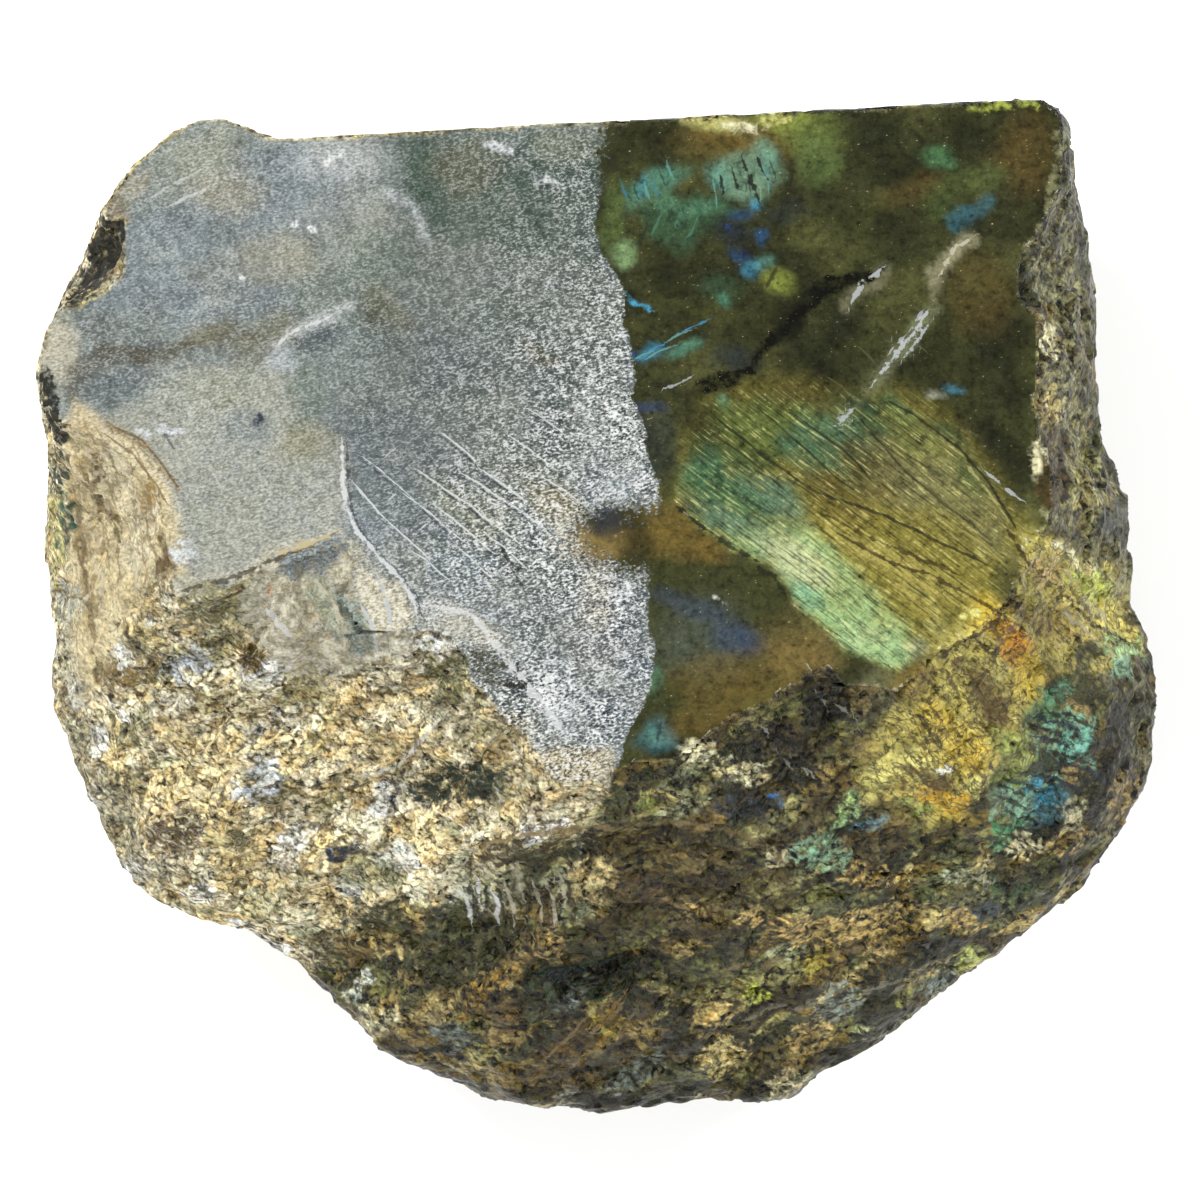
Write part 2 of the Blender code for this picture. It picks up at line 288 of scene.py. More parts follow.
@dataclass(frozen=True)
class PathPlace:
    """Where points lie by a path."""

    side: Array  # distance from the path, negative on its left
    along: Array  # distance along the path: below 0 before its start, above its length past its end
    length: float  # the path's length


def path_place(points: Array, path: Points) -> PathPlace:
    """Finds where plan points lie by a path.

    Args:
        points: Plan points, one a row.
        path: The path's corners.

    Returns:
        Where they lie.
    """
    nearest = np.full(len(points), np.inf)
    side = np.zeros(len(points))
    along = np.zeros(len(points))
    run = 0.0
    for number, (start, end) in enumerate(zip(path, path[1:])):
        leg = np.subtract(end, start)
        length = float(np.linalg.norm(leg))
        offset = points - start
        share = offset @ leg / length**2
        distance = np.linalg.norm(offset - np.clip(share, 0.0, 1.0)[:, None] * leg, axis=1)
        closer = distance < nearest
        nearest[closer] = distance[closer]
        turn = leg[1] * offset[:, 0] - leg[0] * offset[:, 1]
        side[closer] = np.where(turn < 0, -distance, distance)[closer]
        lowest = -np.inf if number == 0 else 0.0
        highest = np.inf if number == len(path) - 2 else 1.0
        along[closer] = run + length * np.clip(share, lowest, highest)[closer]
        run += length
    return PathPlace(side, along, run)


def outline_distance(points: Array, outline: Points) -> Array:
    """Distance of each plan point from a closed outline, positive inside."""
    inside = np.zeros(len(points), bool)
    x, y = points.T
    for start, end in zip(outline, outline[1:] + outline[:1]):
        rise = end[1] - start[1]
        if rise != 0.0:
            crosses = (start[1] > y) != (end[1] > y)
            inside ^= crosses & (x < (end[0] - start[0]) * (y - start[1]) / rise + start[0])
    away = np.abs(path_place(points, outline + outline[:1]).side)
    return np.where(inside, away, -away)


def span_of(points: Points, spare: float) -> Span:
    """The span of points, with some to spare around it."""
    across, back = zip(*points)
    return min(across) - spare, max(across) + spare, min(back) - spare, max(back) + spare


@dataclass(frozen=True)
class Rise:
    """A share that eases from 0 to 1 across the plan."""

    right: float  # the way it grows
    back: float
    start: float
    run: float

    def at(self, points: Array) -> Array:
        """The share at each plan point."""
        x, y = points.T
        return eased((self.right * x + self.back * y - self.start) / self.run)


class Shape(ABC):
    """A shape in the plan that takes a colour."""

    tint: Tint
    strength: float
    soft: float
    crisp_below: ClassVar[float] = 0.9  # with a softness below this, the edge is drawn crisp

    @abstractmethod
    def span(self) -> Span:
        """The span that the shape reaches."""

    @abstractmethod
    def depth(self, points: Array) -> Array:
        """How far inside the shape each plan point is, in the unit of its softness."""

    def cover(self, points: Array) -> Array:
        """How fully the shape covers each plan point, from 0 to 1."""
        return self.strength * inside_edge(self.depth(points), self.soft)

    def crisp(self) -> bool:
        """Whether its edge is to be drawn crisp."""
        return self.soft < self.crisp_below


@dataclass(frozen=True)
class Spot(Shape):
    """An oval with a soft edge: its middle, its size along and across, its turn, its colour."""

    x: float
    y: float
    length: float
    width: float
    turn: float
    tint: Tint
    strength: float = 0.8
    soft: float = 0.7  # width of the soft edge, as a share of the oval's half size

    def span(self) -> Span:
        """The span that the shape reaches."""
        return span_of(((self.x, self.y),), max(self.length, self.width) / 2 * (1.0 + self.soft))

    def depth(self, points: Array) -> Array:
        """How far inside the oval each plan point is, in half sizes."""
        angle = math.radians(self.turn)
        offset = points - (self.x, self.y)
        along = offset @ (math.cos(angle), math.sin(angle)) / (self.length / 2)
        across = offset @ (-math.sin(angle), math.cos(angle)) / (self.width / 2)
        return 1.0 - np.hypot(along, across)


@dataclass(frozen=True)
class Streak(Shape):
    """A band along a path, with a soft edge."""

    path: Points
    width: float
    tint: Tint
    strength: float = 0.8
    soft: float = 0.8  # width of the soft edge, as a share of the band's half width

    def span(self) -> Span:
        """The span that the shape reaches."""
        return span_of(self.path, self.width / 2 * (1.0 + self.soft))

    def depth(self, points: Array) -> Array:
        """How far inside the band each plan point is, in half widths."""
        return 1.0 - np.abs(path_place(points, self.path).side) / (self.width / 2)


@dataclass(frozen=True)
class Patch(Shape):
    """An area inside an outline, with a soft edge."""

    outline: Points
    tint: Tint
    strength: float = 0.85
    soft: float = 0.8  # width of the soft edge, in millimetres
    crisp_below: ClassVar[float] = 1.5

    def span(self) -> Span:
        """The span that the shape reaches."""
        return span_of(self.outline, self.soft)

    def depth(self, points: Array) -> Array:
        """How far inside the outline each plan point is, in millimetres."""
        return outline_distance(points, self.outline)


@dataclass(frozen=True)
class Seam:
    """A thin line along a path, with pointed ends."""

    path: Points
    width: float
    tint: Tint
    strength: float = 0.8
    crumble: float = 2.5  # how far its edge strays, in half widths


Seams = tuple[Seam, ...]


@dataclass(frozen=True)
class Comb:
    """A row of seams side by side, each a little unlike the next."""

    start: Point
    end: Point
    tooth: Point  # from a seam's start to its end
    count: int
    width: float
    tints: tuple[Tint, ...]  # taken in turn
    strength: float = 0.8
    crumble: float = 2.0
    stray: float = 0.25  # how far places and lengths stray, as a share of the tooth

    def seams(self) -> Seams:
        """The row's seams."""
        made = []
        across, back = self.tooth
        for number in range(self.count):
            share = number / max(self.count - 1, 1)
            stray = self.stray * math.sin(COMB_PHASES[0] * number + 1.0)
            x, y = (near + share * (far - near) for near, far in zip(self.start, self.end))
            first = (x + stray * across, y + stray * back)
            reach = 1.0 - self.stray * math.sin(COMB_PHASES[1] * number) ** 2
            half = reach / 2
            middle = (first[0] + half * across - COMB_BOW * back, first[1] + half * back + COMB_BOW * across)
            last = (first[0] + reach * across, first[1] + reach * back)
            tint = self.tints[number % len(self.tints)]
            made.append(Seam((first, middle, last), self.width, tint, self.strength, self.crumble))
        return tuple(made)


@dataclass(frozen=True)
class Step:
    """An area that stands above or lies below what is round it."""

    outline: Points
    rise: float
    soft: float = 0.8  # width of the slope at its edge

    def lift(self, points: Array) -> Array:
        """How far each plan point is lifted."""
        return self.rise * inside_edge(outline_distance(points, self.outline), self.soft)


@dataclass(frozen=True)
class Grains:
    """Crystal grains of a few colours, each grain of one colour."""

    tints: tuple[tuple[Tint, float], ...]  # colour and its share of the grains
    size: float
    seed: int
    turn: float = 0.0
    stretch: tuple[float, float, float] = (1.0, 1.0, 1.0)

    def colours(self, places: Array) -> Array:
        """The grain's colour at each point."""
        number = cells_at(turned(places, self.turn, self.stretch), self.size, self.seed).number
        shares = np.cumsum([share for _, share in self.tints])
        which = np.searchsorted(shares / shares[-1], number).clip(0, len(shares) - 1)
        return np.array([tint.light() for tint, _ in self.tints])[which]


Shapes = tuple[Shape, ...]
Combs = tuple[Comb, ...]


# ---- the canvas

SEAM_FAMILIES = 3
SEAM_REACH = 1.0  # how far from its middle a seam is kept on the points
SEAM_SPARE = 1.0  # how much further its side is kept, so that no false line comes up at the reach
SEAM_FAR = 40.0  # the most half widths that a point is said to be from a seam
SEAM_POINT = 2.5  # length of a seam's pointed end
SEAM_TIP = (0.35, 0.25)  # share of its width that a seam has at its end, and the least that it keeps past it
SEAM_PAST = 0.6  # how far past its end a seam fades out
SEAM_SWAY = 0.35  # how much of the break's raggedness a seam takes up
GRAIN_TURN = 30.0  # the way of the break's crystals, in degrees from +X
GRAIN_STRETCH = (1.4, 0.9, 0.9)  # and how they are drawn out
OVERHANG = (0.02, 0.3)  # the upward slope from which points are painted, and how softly that starts
CRISP_GAIN = 2.4  # how soon a crisp shape has its full colour inside its edge


@dataclass(frozen=True)
class Stray:
    """Noise of two sizes that leads plan points astray."""

    reach: float
    size: float
    fine_reach: float
    fine_size: float
    seed: int

    def led(self, places: Array, plan: Array) -> Array:
        """Leads points astray.

        Args:
            places: The points, one a row.
            plan: Their places in the plan.

        Returns:
            Where they are led to in the plan.
        """
        moved = plan.copy()
        for axis in (0, 1):
            shift = self.reach * cloud(places, self.size, self.seed + axis)
            moved[:, axis] += shift + self.fine_reach * cloud(places, self.fine_size, self.seed + axis + 5)
        return moved


RAGGED = Stray(0.5, 2.2, 0.15, 0.9, 11)
SWAYED = Stray(1.0, 4.0, 0.5, 1.5, 13)
PATCHY = (0.45, 1.1, 17)  # how unevenly soft colours are laid: how much, size, seed


@dataclass
class Figure:
    """Shapes with crisp edges: their colour at each point, and how surely it is there."""

    tint: Array
    there: Array


@dataclass
class SeamFamily:
    """Seams that keep clear of each other."""

    side: Array  # distance from the nearest seam, in half widths
    crumble: Array
    tint: Array
    there: Array


@dataclass
class Canvas:
    """The stone's points, with what is painted on them."""

    places: Array
    normals: Array
    plan: Array = field(init=False)
    ragged: Array = field(init=False)
    swayed: Array = field(init=False)
    patchy: Array = field(init=False)
    up: Array = field(init=False)
    layers: dict[Layer, Array] = field(init=False)
    figures: dict[Layer, Figure] = field(init=False)
    seams: list[SeamFamily] = field(init=False)
    tide: Array = field(init=False)
    sawn: Array = field(init=False)
    felt: Array = field(init=False)
    flash: Array = field(init=False)
    grit: Array = field(init=False)
    wrinkle: Array = field(init=False)

    def __post_init__(self) -> None:
        """Lines the points up in the plan and lays an empty ground."""
        count = len(self.places)
        self.plan = plan_of(self.places)
        self.ragged = RAGGED.led(self.places, self.plan)
        self.swayed = SWAYED.led(self.places, self.plan)
        uneven, size, seed = PATCHY
        self.patchy = 1.0 + uneven * cloud(self.places, size, seed)
        self.up = eased((self.normals[:, 2] - OVERHANG[0]) / OVERHANG[1])
        self.layers = {layer: np.zeros((count, 3)) for layer in Layer}
        self.figures = {layer: Figure(np.zeros((count, 3)), np.zeros(count)) for layer in Layer}
        self.seams = [
            SeamFamily(np.full(count, SEAM_FAR), np.zeros(count), np.zeros((count, 3)), np.zeros(count))
            for _ in range(SEAM_FAMILIES)
        ]
        self.tide, self.sawn, self.felt, self.flash, self.grit, self.wrinkle = np.zeros((6, count))

    def chip(self, size: float, share: float, seed: int) -> None:
        """Draws the ragged points of the break to the middles of crystals, whose sides shapes then follow."""
        inward = cells_at(turned(self.places, GRAIN_TURN, GRAIN_STRETCH), size, seed).offset[:, :2] * size
        cos, sin = math.cos(math.radians(GRAIN_TURN)), math.sin(math.radians(GRAIN_TURN))
        along, across = (inward * GRAIN_STRETCH[:2]).T
        drawn = np.column_stack((along * cos - across * sin, along * sin + across * cos))
        self.ragged -= share * drawn * (1.0 - self.sawn)[:, None]

    def near(self, span: Span, spare: float = 1.0) -> Array:
        """Which points lie within the span of a shape, with some to spare around it."""
        x, y = self.plan.T
        low_x, high_x, low_y, high_y = span
        within = (x > low_x - spare) & (x < high_x + spare) & (y > low_y - spare) & (y < high_y + spare)
        return np.flatnonzero(within & (self.up > 0))

    def lay(self, layers: tuple[Layer, ...], shapes: Shapes) -> None:
        """Paints shapes softly into the ground, one over another.

        Args:
            layers: The layers of colour that they go on.
            shapes: The shapes, the lowest first.
        """
        for shape in shapes:
            here = self.near(shape.span())
            cover = shape.cover(self.swayed[here]) * self.up[here] * self.patchy[here]
            cover = np.minimum(cover, 1.0)[:, None]
            for layer in layers:
                self.layers[layer][here] += cover * (shape.tint.light() - self.layers[layer][here])

    def stamp(self, layers: tuple[Layer, ...], shapes: Shapes) -> None:
        """Paints shapes with crisp edges over the ground, one over another.

        Args:
            layers: The layers of colour that they go on.
            shapes: The shapes, the lowest first.
        """
        for shape in shapes:
            here = self.near(shape.span())
            cover = shape.cover(self.ragged[here]) * self.up[here]
            share = eased(CRISP_GAIN * cover)[:, None]
            for layer in layers:
                figure = self.figures[layer]
                figure.tint[here] += share * (shape.tint.light() - figure.tint[here])
                figure.there[here] = np.maximum(figure.there[here], cover)

    def paint(self, layers: tuple[Layer, ...], shapes: Shapes) -> None:
        """Stamps the shapes with crisp edges and lays the others, one over another.

        Args:
            layers: The layers of colour that they go on.
            shapes: The shapes, the lowest first.
        """
        for shape in shapes:
            put = self.stamp if shape.crisp() else self.lay
            put(layers, (shape,))

    def flood(self, layer: Layer, cover: Array, colours: Array) -> None:
        """Mixes colours into a layer over the whole stone.

        Args:
            layer: The layer of colour.
            cover: How fully, for each point.
            colours: A colour for each point, or one for all.
        """
        self.layers[layer] += cover[:, None] * (colours - self.layers[layer])

    def within(self, outline: Points, soft: float) -> Array:
        """How fully each point of the canvas lies inside an outline with a soft edge."""
        return inside_edge(outline_distance(self.ragged, outline), soft) * self.up

    def draw(self, seams: Seams) -> None:
        """Draws seams, each in the family that has the least near it."""
        for seam in seams:
            here = self.near(span_of(seam.path, SEAM_REACH + SEAM_SPARE))
            place = path_place(SEAM_SWAY * self.ragged[here] + (1.0 - SEAM_SWAY) * self.plan[here], seam.path)
            past = np.maximum(-place.along, place.along - place.length)
            point = min(SEAM_POINT, place.length / 3)
            half = seam.width / 2 * np.clip(SEAM_TIP[0] - past / point, SEAM_TIP[1], 1.0)
            side = np.clip(place.side / half, -SEAM_FAR, SEAM_FAR)
            there = seam.strength * eased(2.0 * (1.0 - np.abs(place.side) / SEAM_REACH))
            there *= eased(1.0 - past / SEAM_PAST)
            family = min(self.seams, key=lambda each: each.there[here].sum())
            near = np.abs(place.side) < SEAM_REACH + SEAM_SPARE
            free = near & (there * self.up[here] >= family.there[here])
            here, side, there = here[free], side[free], (there * self.up[here])[free]
            family.side[here] = side
            family.crumble[here] = seam.crumble
            family.tint[here] = seam.tint.light()
            family.there[here] = there

    def lift(self, layer: Layer, outline: Points, gain: float, soft: float) -> None:
        """Makes what a layer shows inside an outline brighter, by gain."""
        more = 1.0 + (gain - 1.0) * self.within(outline, soft)[:, None]
        self.layers[layer] *= more
        self.figures[layer].tint *= more

    def comb(self, combs: Combs) -> None:
        """Draws the seams of combs."""
        for comb in combs:
            self.draw(comb.seams())


def plan_of(places: Array) -> Array:
    """Plan points of places on the stone, both in millimetres."""
    nearer = EYE_DROP / (EYE_DROP + SAWN_LEVEL - places[:, 2])
    return (places[:, :2] - EYE) * nearer[:, None] + EYE - PLAN_MIDDLE


# ---- the ground of the stone

TIDE_LINE = (
    (0.6, 56.0), (0.2, 48.5), (0.0, 42.3), (-0.4, 39.5), (0.0, 35.7), (1.8, 33.8), (2.5, 32.4),
    (2.4, 29.3), (3.0, 26.8), (3.5, 23.5), (3.0, 21.4), (4.0, 19.1), (4.6, 16.2), (5.5, 13.5),
    (6.1, 11.0), (4.2, 10.0), (1.2, 10.3), (-1.4, 9.6), (-2.4, 7.6), (-1.2, 5.3), (2.0, 4.3), (4.7, 3.8),
    (5.1, -3.0), (5.3, -6.4), (4.6, -8.7), (3.4, -11.7), (2.4, -13.4), (1.4, -17.2), (-0.5, -21.0),
    (-2.5, -23.0), (-8.0, -24.5), (-13.0, -28.0), (-20.5, -30.0), (-26.0, -34.0), (-36.0, -42.0),
)
TIDE_AREA = TIDE_LINE + ((-36.0, -70.0), (75.0, -70.0), (75.0, 56.0))

PLATE_CHIP = ((-31.9, 2.6), (-30.8, 2.3), (-29.9, 1.0), (-29.6, -0.3), (-30.4, 0.2), (-31.3, 1.2))
PLATES = (
    ((-33.6, 1.3), (-32.5, 1.6), (-31.0, 0.4), (-29.9, -1.2), (-29.3, -3.2), (-30.5, -2.5), (-33.3, 0.2)),
    ((-29.3, 3.3), (-28.2, 3.1), (-26.8, 1.0), (-25.8, -1.5), (-25.4, -4.1), (-27.9, -1.6), (-28.9, 0.8)),
    ((-24.2, 4.5), (-22.8, 3.6), (-21.7, 1.0), (-21.4, -1.6), (-22.2, -3.2), (-23.5, -0.2), (-24.4, 2.5)),
)
PLATE_GAP = (
    (-27.0, 2.6), (-25.5, 2.2), (-23.9, 0.1), (-22.7, -3.0), (-22.7, -5.0), (-24.6, -4.2), (-25.6, -1.6),
)
EDGE_NOTCH = (
    (-47.6, 39.0), (-50.2, 38.9), (-52.0, 33.7), (-53.9, 30.4), (-52.2, 30.4), (-49.7, 32.6),
    (-48.4, 34.7),
)
# a patch painted dark and also sunk a little as a hollow
DARK_HOLLOW = (
    (-7.8, -37.8), (-7.2, -35.8), (-1.5, -34.4), (2.3, -34.2), (3.8, -35.3), (2.8, -37.8), (0.0, -39.0),
)

DRY_GRAINS = (
    (Tint.CREAM, 2.0), (Tint.BONE, 1.8), (Tint.PALE, 2.8), (Tint.BEIGE, 2.0), (Tint.KHAKI, 1.2),
    (Tint.FROST, 1.0), (Tint.CLAY, 1.0), (Tint.SAGE, 1.3), (Tint.DARK_OLIVE, 0.4), (Tint.DRAB, 0.4),
)
WET_GRAINS = (
    (Tint.DARK_OLIVE, 2.2), (Tint.BLACK, 0.9), (Tint.OLIVE, 1.7), (Tint.KHAKI, 1.0), (Tint.COAL, 1.3),
    (Tint.BRONZE, 1.4), (Tint.PEAT, 1.2), (Tint.BEIGE, 1.0), (Tint.UMBER, 0.8), (Tint.TAN, 0.8),
    (Tint.SAGE, 0.4),
)


@dataclass(frozen=True)
class Swell:
    """Noise about a level."""

    level: float
    gain: float
    size: float
    seed: int
    octaves: int = 2

    def at(self, places: Array) -> Array:
        """The noise at each point."""
        return self.level + self.gain * cloud(places, self.size, self.seed, self.octaves)


def blend(first: Array, second: Array, share: Array) -> Array:
    """Mixes two colours, with a share of the second for each point."""
    return first * (1.0 - share[:, None]) + second * share[:, None]


@dataclass
class Break:
    """The broken surface all round: cream and brown where it is dry, dark olive and brown where it is wet."""

    dry: Grains = Grains(DRY_GRAINS, 3.4, 101, 40.0, (1.5, 0.9, 0.8))
    wet: Grains = Grains(WET_GRAINS, 3.0, 161, 25.0, (1.7, 0.8, 0.8))
    dry_mean: Tint = Tint.CREAM
    wet_mean: Tint = Tint.DARK_OLIVE
    dry_gain: float = 1.5
    wet_gain: float = 1.05
    evenness: float = 0.3
    crystal: float = 1.7  # size of the crystals whose sides the shapes follow
    drawn: float = 0.6  # how far the shapes are drawn to them
    seed: int = 71
    tones: tuple[Swell, ...] = (Swell(1.1, 0.35, 7.0, 43), Swell(0.0, 0.2, 2.5, 44))
    bands: Swell = Swell(0.0, 0.55, 2.6, 45, 3)
    band_turn: float = 28.0
    band_stretch: tuple[float, float, float] = (3.2, 0.8, 0.8)
    darkest: float = 0.3

    def paint(self, canvas: Canvas) -> None:
        """Floods both layers with the coarse grains of the break."""
        canvas.chip(self.crystal, self.drawn, self.seed)
        everywhere = np.ones(len(canvas.places))
        tone = sum(swell.at(canvas.places) for swell in self.tones)
        tone = tone + self.bands.at(turned(canvas.places, self.band_turn, self.band_stretch))
        tone = np.maximum(tone, self.darkest)[:, None]
        for layer, grains, mean, gain in (
            (Layer.DRY, self.dry, self.dry_mean, self.dry_gain),
            (Layer.WET, self.wet, self.wet_mean, self.wet_gain),
        ):
            canvas.flood(layer, everywhere, grains.colours(canvas.places))
            canvas.flood(layer, self.evenness * everywhere, mean.light())
            canvas.layers[layer] *= tone * gain
        canvas.grit = 1.0 - canvas.sawn


@dataclass
class SawnFace:
    """The level sawn face: dusty blue-grey where it is dry, dark olive and glossy where it is wet."""

    flat: float = 0.06  # how far a point of the face may be off its level
    facing: float = 0.8  # and how squarely it faces up at the least
    blue: Swell = Swell(0.4, 1.6, 9.0, 52)
    pale: Swell = Swell(0.3, 1.6, 5.0, 53)
    dust: tuple[Swell, ...] = (Swell(0.95, 0.35, 3.0, 54), Swell(0.0, 0.35, 1.2, 51))
    olive: Swell = Swell(0.4, 1.5, 6.0, 55)
    dark: Swell = Swell(0.35, 1.5, 4.0, 56)
    wet_tone: Swell = Swell(0.8, 0.4, 2.2, 57, 3)
    pale_share: float = 0.5
    wet_share: float = 0.6
    felt: Swell = Swell(0.85, 0.5, 4.0, 58, 3)  # how strongly the dust shows its specks
    felt_least: float = 0.25  # what is left of that at the far left corner
    felt_rise: Rise = Rise(1.0, -0.45, -36.0, 34.0)

    def find(self, canvas: Canvas) -> None:
        """Marks the points that lie on the sawn face."""
        level = np.abs(canvas.places[:, 2] - SAWN_LEVEL) < self.flat
        canvas.sawn = (level & (canvas.normals[:, 2] > self.facing)).astype(float)

    def paint(self, canvas: Canvas) -> None:
        """Paints the dry and the wet ground of the face."""
        places = canvas.places
        tint = blend(Tint.FOG.light(), Tint.STEEL.light(), eased(self.blue.at(places)))
        tint = blend(tint, Tint.ASH.light(), self.pale_share * eased(self.pale.at(places)))
        canvas.flood(Layer.DRY, canvas.sawn, tint * sum(swell.at(places) for swell in self.dust)[:, None])
        olive = self.wet_share * eased(self.olive.at(places))
        dark = self.wet_share * eased(self.dark.at(places))
        tint = blend(blend(Tint.DARK_OLIVE.light(), Tint.OLIVE.light(), olive), Tint.COAL.light(), dark)
        canvas.flood(Layer.WET, canvas.sawn, tint * self.wet_tone.at(places)[:, None])
        share = self.felt_least + (1.0 - self.felt_least) * self.felt_rise.at(canvas.plan)
        canvas.felt = canvas.sawn * share * self.felt.at(places)


@dataclass
class TideLine:
    """Where the wet half starts: a sharp ragged edge on the face, softer at the back and in front."""

    soft_back: float = 3.0
    soft_face: float = 0.5
    soft_front: float = 3.0
    soft_wall: float = 5.0
    stray: Swell = Swell(0.0, 9.0, 14.0, 59, 3)  # how the line strays on the sides of the stone
    behind: Rise = Rise(0.0, 1.0, 40.0, 8.0)
    before: Rise = Rise(0.0, -1.0, 16.0, 8.0)
    bay: Point = (-0.5, 7.2)  # the middle of a bay with a soft edge
    bay_size: float = 5.5
    bay_reach: float = 1.6  # how many times its size its softness reaches
    soft_bay: float = 3.0
    far: float = 4.0  # the most that a point is said to be to one side

    def mark(self, canvas: Canvas) -> None:
        """Marks each point's side of the tide line: below 0 on the dry side, above 0 on the wet side."""
        x, y = canvas.plan.T
        soft = self.soft_face + (self.soft_back - self.soft_face) * self.behind.at(canvas.plan)
        soft = soft + (self.soft_front - self.soft_face) * self.before.at(canvas.plan)
        from_bay = np.hypot(x - self.bay[0], y - self.bay[1]) / self.bay_size
        soft = soft + self.soft_bay * eased(self.bay_reach - from_bay)
        wall = 1.0 - canvas.up
        strayed = outline_distance(canvas.ragged, TIDE_AREA) + wall * self.stray.at(canvas.places)
        canvas.tide = np.clip(strayed / (soft + self.soft_wall * wall), -self.far, self.far)


Light = tuple[float, float]  # how many times brighter an area is made, and how wide its soft edge is


@dataclass(frozen=True)
class Cleavage:
    """A fine cleavage line of the dry face: a pale line with a dark one below it."""

    x: float
    y: float
    length: float
    fall: float  # to the right, in degrees
    width: float
    bow: ClassVar[float] = 0.2
    drop: ClassVar[float] = 0.3  # from the pale line down to the dark one

    def seams(self) -> tuple[Seam, Seam]:
        """The two lines.

        Returns:
            The pale line and the dark one.
        """
        right, down = math.cos(math.radians(self.fall)), math.sin(math.radians(self.fall))
        middle = (self.x + right * self.length / 2, self.y - down * self.length / 2 + self.bow)
        line = ((self.x, self.y), middle, (self.x + right * self.length, self.y - down * self.length))
        lower = tuple((at - self.drop * down, up - self.drop * right) for at, up in line)
        pale = Seam(line, 0.55 * self.width, Tint.WHITE, 0.75, 1.6)
        return pale, Seam(lower, 0.6 * self.width, Tint.INK, 0.6, 1.6)


